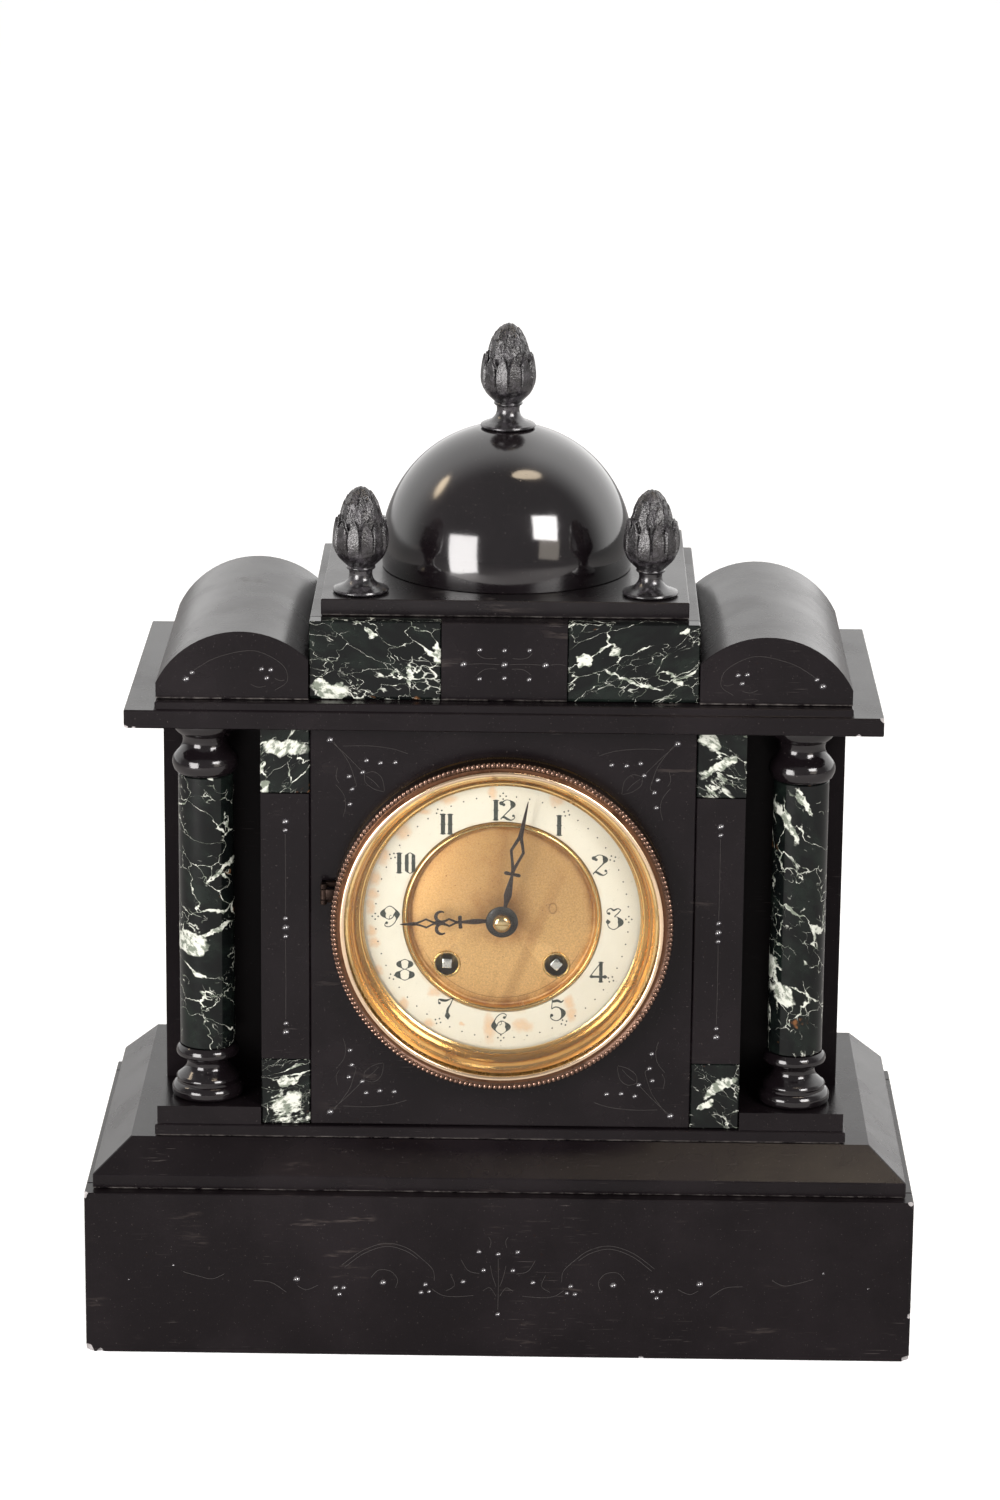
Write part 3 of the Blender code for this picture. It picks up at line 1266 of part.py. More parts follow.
def make_trains():
    """The going train on the right and the striking train on the left."""
    make_barrel("going_barrel", GOING_BARREL)
    make_barrel("strike_barrel", STRIKE_BARREL)
    phase = meshing(GOING_BARREL, BARREL_TEETH, SECOND, BARREL_PINION)
    pinion = leaves(BARREL_PINION, BARREL_MODULE, GREAT_WHEEL, GREAT_THICK, phase)
    second = disc(SECOND_TEETH, BARREL_MODULE, SECOND_WHEEL)
    make_wheel("second_wheel", SECOND, ARBOR, PIVOT, pinion, second)
    phase = meshing(STRIKE_BARREL, BARREL_TEETH, PIN_WHEEL, BARREL_PINION)
    pinion = leaves(BARREL_PINION, BARREL_MODULE, GREAT_WHEEL, GREAT_THICK, phase)
    pins = disc(PIN_WHEEL_TEETH, PIN_WHEEL_MODULE, SECOND_WHEEL)
    pin_wheel = make_wheel("strike_pin_wheel", PIN_WHEEL, ARBOR, PIVOT, pinion, pins)
    pin_ring = PIN_WHEEL_PITCH - PIN_INSET
    for i in range(STRIKE_PINS):
        angle = 2 * math.pi * i / STRIKE_PINS
        centre = (pin_ring * math.cos(angle), pin_ring * math.sin(angle))
        span = (SECOND_WHEEL + WHEEL_THICK / 2, SECOND_WHEEL + WHEEL_THICK + PIN_LENGTH)
        fuse(pin_wheel, rod("lifting_pin", PIN_RADIUS, *span, centre, 6))
    phase = meshing((0.0, 0.0), CENTRE_TEETH, THIRD, THIRD_PINION)
    pinion = leaves(THIRD_PINION, CENTRE_MODULE, CENTRE_WHEEL, WHEEL_THICK, phase)
    third = disc(THIRD_TEETH, THIRD_MODULE, THIRD_WHEEL)
    make_wheel("third_wheel", THIRD, THIN_ARBOR, THIN_PIVOT, pinion, third)
    phase = meshing(THIRD, THIRD_TEETH, ESCAPE, ESCAPE_PINION)
    pinion = leaves(ESCAPE_PINION, THIRD_MODULE, THIRD_WHEEL, WHEEL_THICK, phase)
    pitch = ESCAPE_RADIUS / (1 + 2 * TOOTH_HEIGHT / ESCAPE_TEETH)
    escape = (ESCAPE_TEETH, pitch, ESCAPE_WHEEL, ESCAPE_WHEEL + WHEEL_THICK)
    make_wheel("escape_wheel", ESCAPE, THIN_ARBOR, THIN_PIVOT, pinion, escape)


def make_centre():
    """The centre arbor runs from the back plate to the nut in front of the hands."""
    nut = MINUTE_PLANE + HAND_THICK + NUT_STAND
    profile = [
        (0.0, nut + NUT_HEIGHT),
        (NUT_RADIUS * 0.45, nut + NUT_HEIGHT * 0.92),
        (NUT_RADIUS * 0.85, nut + NUT_HEIGHT * 0.54),
        (NUT_RADIUS, nut),
        (CENTRE_ARBOR, nut),
        (CENTRE_ARBOR, BACK_INSIDE + JOINT),
        (PIVOT, BACK_INSIDE + JOINT),
        (PIVOT, BACK_PLATE + JOINT),
        (0.0, BACK_PLATE + JOINT),
    ]
    centre = facing(part("centre_arbor", turned("centre_arbor", profile, SMALL), BRASS))
    phase = meshing(SECOND, SECOND_TEETH, (0.0, 0.0), CENTRE_PINION)
    pinion = leaves(CENTRE_PINION, BARREL_MODULE, SECOND_WHEEL, WHEEL_THICK, phase)
    wheel = disc(CENTRE_TEETH, CENTRE_MODULE, CENTRE_WHEEL)
    fuse(centre, toothed("centre_pinion", *pinion), toothed("centre_wheel", *wheel))


def make_motion_work():
    """Cannon pinion, minute wheel and hour wheel in front of the front plate."""
    module = 2 * MOTION_DROP / (CANNON_TEETH + MINUTE_TEETH)
    hour_module = 2 * MOTION_DROP / (MINUTE_PINION + HOUR_TEETH)
    tube_end = MINUTE_PLANE + HAND_THICK + SLEEVE_RISE
    sleeve = rod("cannon_pinion", CANNON_RADIUS, FRONT_PLATE + CANNON_STATION, tube_end, facets=SMALL)
    cannon = facing(part("cannon_pinion", sleeve, STEEL))
    pinion = leaves(CANNON_TEETH, module, MINUTE_WHEEL, WHEEL_THICK, 0.0)
    fuse(cannon, toothed("cannon_leaves", *pinion))
    through = (FRONT_PLATE, tube_end + OVERCUT)
    cut(cannon, rod("cannon_bore", bore(CENTRE_ARBOR, SMALL), *through, facets=SMALL))

    stud = (0.0, -MOTION_DROP)
    phase = meshing((0.0, 0.0), CANNON_TEETH, stud, MINUTE_TEETH)
    wheel = toothed("minute_wheel", *disc(MINUTE_TEETH, module, MINUTE_WHEEL), phase)
    minute = facing(part("minute_wheel", wheel, BRASS), stud)
    span = (MINUTE_WHEEL + LEAF_OVERLAP, HOUR_WHEEL + WHEEL_THICK + LEAF_OVERLAP)
    fuse(minute, toothed("minute_pinion", MINUTE_PINION, MINUTE_PINION * hour_module / 2, *span))
    through = (MINUTE_WHEEL - OVERCUT, span[1] + OVERCUT)
    cut(minute, rod("minute_bore", bore(STUD_RADIUS, SMALL), *through, facets=SMALL))

    phase = meshing(stud, MINUTE_PINION, (0.0, 0.0), HOUR_TEETH)
    wheel = toothed("hour_wheel", *disc(HOUR_TEETH, hour_module, HOUR_WHEEL), phase)
    hour = facing(part("hour_wheel", wheel, BRASS))
    pipe_end = HOUR_PLANE + HAND_THICK + PIPE_RISE
    fuse(hour, rod("pipe", PIPE_RADIUS, HOUR_WHEEL + WHEEL_THICK / 2, pipe_end, facets=SMALL))
    cut(hour, rod("pipe_bore", bore(CANNON_RADIUS, SMALL), FRONT_PLATE, pipe_end + OVERCUT, facets=SMALL))


def diamond(low, high, half, middle=0.5):
    """A kite between two heights, widest part of the way up."""
    waist = low + (high - low) * middle
    return [(0.0, low), (half, waist), (0.0, high), (-half, waist)]


def make_hands():
    """Pierced hands: a slim point, an open kite, a cross bar and a leaf that tapers to the hub."""
    length = MINUTE_HAND
    half = MINUTE_HALF
    side = [
        (half * 0.67, length * 0.10),
        (half * 0.33, length * 0.16),
        (half * 0.53, length * 0.24),
        (half * 0.25, length * 0.355),
        (half, length * 0.37),
        (half, length * 0.385),
        (half * 0.25, length * 0.40),
        (half * 0.89, length * 0.54),
        (half * 0.22, length * 0.68),
        (half * 0.14, length * 0.96),
    ]
    outline = [*side, (0.0, length), *((-x, z) for x, z in reversed(side))]
    window = diamond(length * 0.47, length * 0.61, half * 0.5)
    face = MINUTE_PLANE + HAND_THICK
    hand = part("minute_hand", plate("minute_hand", [outline, window], MINUTE_PLANE, face), BLUED)
    facing(hand, clockwise=MINUTE_ANGLE)
    collet = (MINUTE_PLANE - HUB_DEPTH, face + COLLET_RISE)
    fuse(hand, rod("collet", COLLET_RADIUS, *collet, facets=SMALL))
    through = (MINUTE_PLANE - OVERCUT, face + OVERCUT)
    cut(hand, rod("minute_hand_bore", bore(CANNON_RADIUS, SMALL), *through, facets=SMALL))

    length = HOUR_HAND
    half = HOUR_HALF
    side = [
        (half * 0.43, length * 0.10),
        (half * 0.23, length * 0.34),
        (half * 0.50, length * 0.40),
        (half * 0.50, length * 0.42),
        (half * 0.17, length * 0.44),
        (half * 0.30, length * 0.51),
        (half * 0.17, length * 0.56),
        (half * 0.87, length * 0.60),
        (half, length * 0.66),
        (half * 0.60, length * 0.63),
        (half * 0.17, length * 0.66),
        (half * 0.47, length * 0.74),
        (half * 0.13, length * 0.82),
        (half * 0.08, length * 0.96),
    ]
    outline = [*side, (0.0, length), *((-x, z) for x, z in reversed(side))]
    window = diamond(length * 0.70, length * 0.78, half * 0.23)
    face = HOUR_PLANE + HAND_THICK
    hand = part("hour_hand", plate("hour_hand", [outline, window], HOUR_PLANE, face), BLUED)
    facing(hand, clockwise=HOUR_ANGLE)
    fuse(hand, rod("hour_hub", HOUR_HUB, HOUR_PLANE - HUB_DEPTH, face, facets=SMALL))
    through = (HOUR_PLANE - OVERCUT, face + OVERCUT)
    cut(hand, rod("hour_hand_bore", bore(PIPE_RADIUS, SMALL), *through, facets=SMALL))


def upright(mesh, depth):
    """Turns a bar drawn along its own Z to run up the dial's plane, at a depth."""
    for vertex in mesh.vertices:
        across, back, up = vertex.co
        vertex.co = (across, up, depth - back)
    return mesh


def make_escapement():
    """The anchor on its arbor with the crutch behind the back plate, and the pendulum in its fork."""
    bridge = BACK_PLATE - COCK_GAP
    profile = [
        (0.0, FRONT_PLATE - JOINT),
        (THIN_PIVOT, FRONT_PLATE - JOINT),
        (THIN_PIVOT, FRONT_INSIDE - JOINT),
        (ARBOR, FRONT_INSIDE - JOINT),
        (ARBOR, bridge + JOINT),
        (THIN_PIVOT, bridge + JOINT),
        (THIN_PIVOT, bridge - COCK_THICK * 0.75),
        (0.0, bridge - COCK_THICK * 0.75),
    ]
    anchor = facing(part("anchor", turned("anchor", profile, TINY), STEEL), ANCHOR)
    pallet = ANCHOR_RISE - ESCAPE_RISE - PALLET_RISE
    side = [
        (PALLET_OUTER, PALLET_TIP - pallet),
        (PALLET_OUTER * 0.93, -pallet - PALLET_TIP / 5),
        (PALLET_X, -pallet),
        (PALLET_X * 0.48, -PALLET_HUB * 1.04),
    ]
    mirrored = [(-x, z) for x, z in reversed(side)]
    arch = [*arc((0.0, 0.0), PALLET_HUB, 180, 0, 6), *side, (0.0, -PALLET_HUB * 0.8), *mirrored]
    span = (ESCAPE_WHEEL - PALLET_OVERLAP, ESCAPE_WHEEL + WHEEL_THICK + PALLET_OVERLAP)
    fuse(anchor, plate("pallets", [arch], *span))
    arm = (BACK_PLATE - CRUTCH_STAND - CRUTCH_THICK, BACK_PLATE - CRUTCH_STAND)
    half = CRUTCH_WIDTH / 2
    fork = ROD_RADIUS + FORK_PLAY
    prong = fork + FORK_WALL
    fuse(anchor, rod("crutch_boss", EYE_RADIUS, arm[0] - BOSS_PROUD, arm[1] + BOSS_PROUD))
    fuse(anchor, box("crutch_arm", (-half, half), (-CRUTCH_LENGTH, -THIN_PIVOT), arm))
    levels = (-CRUTCH_LENGTH - FORK_HEIGHT * 0.8, -CRUTCH_LENGTH + FORK_HEIGHT * 0.2)
    reach = (-PENDULUM_BEHIND - FORK_REACH, arm[1] - CRUTCH_THICK / 5)
    fuse(anchor, box("crutch_fork", (-prong, prong), levels, reach))
    slot = (reach[0] - OVERCUT, -PENDULUM_BEHIND + ROD_RADIUS + FORK_PLAY * 2)
    cut(anchor, box("fork_slot", (-fork, fork), (levels[0] - OVERCUT, levels[1] + OVERCUT), slot))

    eye = [circle(EYE_RADIUS, TINY), circle(bore(PIVOT), TINY)]
    span = (-PENDULUM_BEHIND - EYE_THICK / 2, -PENDULUM_BEHIND + EYE_THICK / 2)
    pendulum = facing(part("pendulum", plate("pendulum", eye, *span), BRASS), ANCHOR)
    foot = -PENDULUM_LENGTH - BOB_RADIUS
    bar = rod("pendulum_rod", ROD_RADIUS, foot - ROD_TAIL, -EYE_RADIUS * 0.7)
    nut = rod("rating_nut", RATING_NUT, foot - ROD_TAIL * 0.7, foot - ROD_TAIL * 0.1)
    fuse(pendulum, upright(bar, -PENDULUM_BEHIND))
    lens = [
        (0.0, BOB_HALF),
        (BOB_RADIUS * 0.6, BOB_HALF * 0.75),
        (BOB_RADIUS, BOB_HALF * 0.15),
        (BOB_RADIUS, -BOB_HALF * 0.15),
        (BOB_RADIUS * 0.6, -BOB_HALF * 0.75),
        (0.0, -BOB_HALF),
    ]
    bob = shifted(turned("bob", lens, FINE), y=-PENDULUM_LENGTH, z=-PENDULUM_BEHIND)
    fuse(pendulum, bob, upright(nut, -PENDULUM_BEHIND))


def make_hammer():
    """The hammer: an arbor with a tail by the lifting pins, and an arm to the bell's edge behind."""
    arm_depth = BACK_PLATE - BELL_GAP - HAMMER_STAND
    end = arm_depth - ARM_THICK / 2 - BOSS_PROUD * 3
    profile = [
        (0.0, FRONT_PLATE - JOINT),
        (PIVOT, FRONT_PLATE - JOINT),
        (PIVOT, FRONT_INSIDE - JOINT),
        (ARBOR, FRONT_INSIDE - JOINT),
        (ARBOR, end),
        (0.0, end),
    ]
    hammer = facing(part("hammer", turned("hammer", profile, TINY), STEEL), HAMMER)
    to_wheel = (PIN_WHEEL[0] - HAMMER_X, PIN_WHEEL[1] - HAMMER_RISE)
    distance = math.hypot(*to_wheel)
    pin_reach = PIN_WHEEL_PITCH - PIN_INSET + PIN_RADIUS
    tail = distance - pin_reach - HAMMER_GAP
    along = (to_wheel[0] / distance, to_wheel[1] / distance)
    across = (-along[1], along[0])
    half = TAIL_WIDTH / 2
    bar = [
        (across[0] * half, across[1] * half),
        (-across[0] * half, -across[1] * half),
        (along[0] * tail - across[0] * half, along[1] * tail - across[1] * half),
        (along[0] * tail + across[0] * half, along[1] * tail + across[1] * half),
    ]
    back = SECOND_WHEEL + WHEEL_THICK + TAIL_STAND
    front = back + TAIL_THICK
    fuse(hammer, rod("tail_boss", TAIL_BOSS, back - BOSS_PROUD, front + BOSS_PROUD))
    fuse(hammer, plate("tail", [bar], back, front))

    head_rise = -HAMMER_REACH
    from_bell = HAMMER_RISE + head_rise + HAMMER_HEAD + BELL_DROP
    rim = BELL_X - math.sqrt(BELL_RADIUS**2 - from_bell**2)
    nose = rim - HAMMER_GAP - HAMMER_X
    centre = nose - HAMMER_LENGTH / 2
    half = ARM_WIDTH / 2
    bar = [(-half, 0.0), (half, 0.0), (centre + half, head_rise), (centre - half, head_rise)]
    back = arm_depth - ARM_THICK / 2
    front = arm_depth + ARM_THICK / 2
    fuse(hammer, rod("arm_boss", ARM_BOSS, back - BOSS_PROUD, front + BOSS_PROUD))
    fuse(hammer, plate("arm", [bar], back, front))
    head = rod("hammer_head", HAMMER_HEAD, nose - HAMMER_LENGTH, nose)
    for vertex in head.vertices:
        across, back, up = vertex.co
        vertex.co = (up, head_rise + across, arm_depth + back)
    shape = bmesh.new()
    shape.from_mesh(head)
    bmesh.ops.recalc_face_normals(shape, faces=shape.faces)
    shape.to_mesh(head)
    shape.free()
    fuse(hammer, head)


make_plinth()
make_base_slabs()
make_case()
make_columns()
make_cornice()
make_arches()
make_attic()
make_finials(make_dome())
make_front_ring()
make_bezel()
make_dial()
make_plates()
make_straps()
make_rear()
make_trains()
make_centre()
make_motion_work()
make_hands()
make_escapement()
make_hammer()
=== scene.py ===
"""A black slate and green marble mantel clock with a brass movement, dressed for its portrait.

Sizes are in metres, in the clock's own frame: it stands on z = 0, its dial faces -Y, and +X is right.
"""

import math
import random

import bmesh
import bpy
from mathutils import Matrix, Vector


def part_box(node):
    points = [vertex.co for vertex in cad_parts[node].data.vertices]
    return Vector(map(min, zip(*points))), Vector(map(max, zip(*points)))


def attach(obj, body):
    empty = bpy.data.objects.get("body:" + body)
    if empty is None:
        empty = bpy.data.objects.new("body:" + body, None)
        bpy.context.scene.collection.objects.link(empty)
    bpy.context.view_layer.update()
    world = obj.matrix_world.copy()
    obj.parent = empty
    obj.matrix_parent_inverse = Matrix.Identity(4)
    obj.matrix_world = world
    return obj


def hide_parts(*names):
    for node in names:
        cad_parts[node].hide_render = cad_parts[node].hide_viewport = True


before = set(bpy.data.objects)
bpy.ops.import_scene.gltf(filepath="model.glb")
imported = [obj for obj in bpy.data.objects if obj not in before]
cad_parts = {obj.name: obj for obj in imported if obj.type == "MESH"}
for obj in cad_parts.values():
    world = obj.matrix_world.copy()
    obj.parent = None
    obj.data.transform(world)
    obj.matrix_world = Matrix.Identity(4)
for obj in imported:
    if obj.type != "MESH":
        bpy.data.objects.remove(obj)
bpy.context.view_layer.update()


# Studio: a camera that looks a little down on the dial, two soft lamps in front of the clock,
# one at each side of the camera, three weak warm ones, and a plain pale floor.
LENS = 115.14
EYE = (0.01516, -1.97650, 0.80611)
TILT = (74.146, -0.521, 0.645)
LAMP_AIM = Vector((0.0, 0.0, 0.2))
LAMP_WHITE = (1.0, 0.97, 0.96)
ROOM_LIGHT = 0.6
FLOOR_HALF = 7.0
FLOOR_DROP = 0.0003


def placed(name, data):
    """A new object in the scene."""
    piece = bpy.data.objects.new(name, data)
    bpy.context.scene.collection.objects.link(piece)
    return piece


camera = placed("camera", bpy.data.cameras.new("camera"))
camera.data.lens = LENS
camera.data.sensor_width = 36.0
camera.location = EYE
camera.rotation_euler = [math.radians(angle) for angle in TILT]
bpy.context.scene.camera = camera
bpy.context.scene.view_settings.view_transform = "Standard"


class Signal:
    """A socket in a material's tree: Python's operators on it add Math nodes, node() adds any other."""

    def __init__(self, socket):
        self.socket = socket

    def node(self, kind, sockets, output=0, stops=(), **settings):
        """Adds a node: its settings first, then the value or link of each socket."""
        made = self.socket.id_data.nodes.new("ShaderNode" + kind)
        for name, value in settings.items():
            setattr(made, name, value)
        for index, (position, colour) in enumerate(stops):
            elements = made.color_ramp.elements
            stop = elements[index] if index < 2 else elements.new(position)
            stop.position = position
            stop.color = (*colour, 1.0)
        plug(made, sockets)
        return Signal(made.outputs[output])

    def math(self, operation, *values):
        return self.node("Math", dict(enumerate(values)), operation=operation)

    def at_least(self, other):
        return self.math("MAXIMUM", self, other)

    def at_most(self, other):
        return self.math("MINIMUM", self, other)

    def __add__(self, other):
        return self.math("ADD", self, other)

    def __sub__(self, other):
        return self.math("SUBTRACT", self, other)

    def __rsub__(self, other):
        return self.math("SUBTRACT", other, self)

    def __mul__(self, other):
        return self.math("MULTIPLY", self, other)

    def __truediv__(self, other):
        return self.math("DIVIDE", self, other)

    def __pow__(self, other):
        return self.math("POWER", self, other)

    def __abs__(self):
        return self.math("ABSOLUTE", self)

    __radd__ = __add__
    __rmul__ = __mul__

    def above(self, low, high):
        """Runs smoothly from 0 at low to 1 at high, or the other way round where high is the smaller."""
        ends = {"Value": self, "From Min": low, "From Max": high}
        return self.node("MapRange", ends, interpolation_type="SMOOTHSTEP")

    def mapped(self, scale=(1.0, 1.0, 1.0), shift=(0.0, 0.0, 0.0), turn=(0.0, 0.0, 0.0)):
        return self.node("Mapping", {"Vector": self, "Scale": scale, "Location": shift, "Rotation": turn})

    def noise(self, scale, detail=3.0, roughness=0.55, warp=0.0):
        sockets = {"Vector": self, "Scale": scale, "Detail": detail, "Roughness": roughness}
        return self.node("TexNoise", {**sockets, "Distortion": warp})

    def blend(self, first, second):
        """The first colour where this is 0, the second where it is 1."""
        return self.node("Mix", {0: self, 6: first, 7: second}, output=2, data_type="RGBA")

    def bump(self, strength, distance):
        return self.node("Bump", {"Height": self, "Strength": strength, "Distance": distance})

    def axes(self):
        return [Signal(output) for output in self.node("SeparateXYZ", {"Vector": self}).socket.node.outputs]


def plug(node, sockets):
    """Sets or links a node's sockets, by name or by number."""
    for key, value in sockets.items():
        socket = node.inputs[key]
        if isinstance(value, Signal):
            socket.id_data.links.new(value.socket, socket)
        elif socket.type == "RGBA":
            socket.default_value = (*value[:3], 1.0)
        else:
            socket.default_value = value


def new_finish(name):
    """A material, its Principled shader, and the place on the clock as a signal."""
    finish = bpy.data.materials.new(name)
    finish.use_nodes = True
    shader = finish.node_tree.nodes["Principled BSDF"]
    place = finish.node_tree.nodes.new("ShaderNodeTexCoord")
    return finish, shader, Signal(place.outputs["Object"])


def lamp(name, azimuth, elevation, size, watts, colour, distance=1.9, roll=0.0, shape="RECTANGLE"):
    """An area lamp that faces the clock from an azimuth, counted to the right of the dial, and a height."""
    turn = math.radians(azimuth)
    rise = math.radians(elevation)
    way = Vector((math.sin(turn) * math.cos(rise), -math.cos(turn) * math.cos(rise), math.sin(rise)))
    light = bpy.data.lights.new(name, "AREA")
    light.shape = shape
    light.size, light.size_y = size
    light.energy = watts
    light.color = colour
    piece = placed(name, light)
    piece.location = LAMP_AIM + way * distance
    facing = way.to_track_quat("Z", "Y").to_matrix()
    piece.rotation_euler = (facing @ Matrix.Rotation(math.radians(roll), 3, "Z")).to_euler()


lamp("lamp_left", -40, 8.5, (0.66, 0.80), 23, LAMP_WHITE, 1.4, roll=6)
lamp("lamp_right", 40, 30, (0.94, 0.86), 45, LAMP_WHITE, 2.4, roll=-13)
lamp("lamp_right_low", 40, 12, (0.80, 0.75), 4, (1.0, 0.90, 0.78), 2.4, roll=-10)
lamp("lamp_high_left", -100, 44, (0.55, 0.24), 3, (1.0, 0.80, 0.55), roll=-55, shape="ELLIPSE")
lamp("lamp_high", 70, 76, (0.70, 0.30), 4, (1.0, 0.82, 0.60), roll=-50, shape="ELLIPSE")

# The room is white behind the clock, most of all on its right, and its polished tops mirror that.
world = bpy.data.worlds.new("studio")
world.use_nodes = True
bpy.context.scene.world = world
sky = world.node_tree.nodes["Background"]
rays = world.node_tree.nodes.new("ShaderNodeLightPath").outputs
way = Signal(world.node_tree.nodes.new("ShaderNodeTexCoord").outputs["Generated"])
aside, away, _ = way.axes()
room = away.above(-0.15, 0.45) * (aside.above(0.0, 0.35) * 0.6 + 1.20) + 0.30
sky.inputs["Color"].default_value = (1.0, 0.99, 0.98, 1.0)
mirrored_room = Signal(rays["Is Glossy Ray"]) * (room - ROOM_LIGHT) + ROOM_LIGHT
plug(sky, {"Strength": mirrored_room + Signal(rays["Is Camera Ray"]) * (1.0 - ROOM_LIGHT)})


def finished(shape, *finishes):
    """A mesh of a worked shape, with its finishes."""
    mesh = bpy.data.meshes.new("worked")
    shape.to_mesh(mesh)
    shape.free()
    for finish in finishes:
        mesh.materials.append(finish)
    return mesh


floor_finish, shader, place = new_finish("studio_floor")
camera_ray = place.node("LightPath", {}, output=0)
plug(shader, {"Base Color": camera_ray.blend((0.50, 0.49, 0.49), (0.90, 0.90, 0.90)), "Roughness": 0.7})
plug(shader, {"Emission Color": camera_ray.blend((0.0, 0.0, 0.0), (0.42, 0.42, 0.42))})
shader.inputs["Emission Strength"].default_value = 1.0
shader.inputs["Specular IOR Level"].default_value = 0.1
shape = bmesh.new()
bmesh.ops.create_grid(shape, x_segments=8, y_segments=8, size=FLOOR_HALF)
floor = placed("floor", finished(shape, floor_finish))
floor.location.z = -FLOOR_DROP


# Slate slabs: sawn from black slate, rubbed flat and polished to a satin, and cemented together
# with plaster. A pale line just above each joint is partly plaster dust and partly a painted highlight
# where the ledge catches the light. Handling has left smears and fine scratches.
SLATE_DARK = (0.0042, 0.0030, 0.0037)
SLATE_WORN = (0.0125, 0.0092, 0.0108)
SMEAR = (0.050, 0.040, 0.036)
SCUFF = (0.17, 0.15, 0.14)
PLASTER_AND_HIGHLIGHT = (0.22, 0.20, 0.185)
DUST_AND_HIGHLIGHT_LINE = 0.0012


def slate_finish(name, roughness, level, dust_and_highlight_heights=(), smears=1.0, ripple=0.10):
    """Polished slate, with a pale line of dust and painted highlight along the joints at the given heights.
    """
    finish, shader, place = new_finish(name)
    cloud = place.noise(22.0, 4.0, 0.6).above(0.35, 0.75)
    lengthwise = place.mapped(scale=(0.13, 0.13, 1.0)).noise(210.0, 4.0, 0.7)
    smear = lengthwise.above(0.57, 0.68) * place.noise(24.0, 2.0).above(0.54, 0.66) * smears
    hair = place.mapped(scale=(0.03, 0.03, 1.0), turn=(0.0, 0.12, 0.0)).noise(2600.0, 1.0).above(0.70, 0.78)
    hair = hair * place.noise(30.0, 2.0).above(0.52, 0.70) * smears
    speck = place.noise(1500.0, 1.0).above(0.735, 0.80) * 0.6
    colour = (cloud * 0.40).blend(SLATE_DARK, SLATE_WORN)
    colour = (smear * 0.45).blend(colour, SMEAR)
    colour = (hair * 0.25 + speck * 0.5).blend(colour, SCUFF)
    satin = cloud * 0.10 + smear * 0.12 + speck * 0.3 + (roughness - 0.05)
    if dust_and_highlight_heights:
        patchy = place.noise(260.0, 5.0, 0.75).above(0.38, 0.68)
        dust_and_highlight = 0.0
        z = place.axes()[2]
        for height in dust_and_highlight_heights:
            rise = z - height
            dust_and_highlight = rise.above(0.0, 0.0002) * rise.above(DUST_AND_HIGHLIGHT_LINE, DUST_AND_HIGHLIGHT_LINE * 0.2) + dust_and_highlight
        # The pale band above each joint is plaster dust and a painted highlight where the ledge catches the
        # light.
        colour = (dust_and_highlight * patchy * 0.75).blend(colour, PLASTER_AND_HIGHLIGHT)
        satin = dust_and_highlight * patchy * 0.4 + satin
    edge = place.noise(900.0, 3.0).bump(ripple, 0.0004)
    plug(shader, {"Base Color": colour, "Roughness": satin, "Normal": edge})
    shader.inputs["Specular IOR Level"].default_value = level
    return finish


def top_of(node):
    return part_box(node)[1].z


joints = [top_of("plinth_front"), top_of("bevel_slab"), top_of("cornice"), top_of("attic_block")]
SLATE = slate_finish("polished_slate", 0.27, 0.20, joints)
# Painted shade: the side walls in the recess behind the columns get a rougher, less reflective copy of the
# slate with fewer smears, so the recess looks darker.
RECESS_SHADE_SLATE = slate_finish("side_slate_painted_shade", 0.33, 0.07, joints, smears=0.7)
TOP_SLATE = slate_finish("dusty_slate", 0.30, 0.34, joints, smears=1.4)


def dress(finish, *nodes, slot=None):
    """Gives a finish to CAD nodes that keep their shape. The slot is not used."""
    for node in nodes:
        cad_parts[node].material_slots[0].material = finish


dress(SLATE, "plinth_side_left", "plinth_side_right", "plinth_back", "bevel_slab", "step_slab", "back_panel")
# painted shade for the recess behind the columns
dress(RECESS_SHADE_SLATE, "side_wall_left", "side_wall_right")
dress(TOP_SLATE, "top_slab")


# Engraved slate: the plinth's front, the front panel, the pilasters, the attic block and the arches.
# Pits are drilled with a round cutter and polished, and the scrolls between them are scratched
# by hand, so they show as thin grey lines. Plinth and cornice have lost chips at their corners.
LARGE_PIT = 0.00145
SMALL_PIT = 0.00112
PIT_LIFT = 0.25  # the cutter's centre in front of the face, as a share of its radius
SCRATCH = 0.00013
MERGE = 0.000002
CREASE = math.radians(32)


def stone_cut(name, colour, roughness, level, lumps=0.3):
    """Stone that a tool or a knock has laid bare."""
    finish, shader, place = new_finish(name)
    grain = place.noise(1400.0, 3.0)
    plug(shader, {"Base Color": grain.blend([c * 0.6 for c in colour], colour), "Roughness": roughness})
    plug(shader, {"Normal": grain.bump(lumps, 0.0003)})
    shader.inputs["Specular IOR Level"].default_value = level
    return finish


PIT = stone_cut("drilled_slate", (0.030, 0.027, 0.031), 0.17, 1.0, 0.03)
for key, value in (("IOR", 1.8), ("Coat Weight", 0.4)):
    PIT.node_tree.nodes["Principled BSDF"].inputs[key].default_value = value
SCRATCHED = stone_cut("scratched_slate", (0.044, 0.040, 0.038), 0.55, 0.3)
BROKEN = stone_cut("chipped_slate", (0.42, 0.40, 0.40), 0.75, 0.3)


def through(points, steps=6):
    """Points on a smooth line through the given ones."""
    ends = [points[0], *points, points[-1]]
    line = []
    for before, start, end, after in zip(ends, ends[1:], ends[2:], ends[3:]):
        for i in range(steps):
            t = i / steps
            line.append(tuple(
                b + ((c - a) * t + (2 * a - 5 * b + 4 * c - d) * t**2 + (3 * b - a - 3 * c + d) * t**3) / 2
                for a, b, c, d in zip(before, start, end, after)
            ))
    line.append(tuple(points[-1]))
    return line


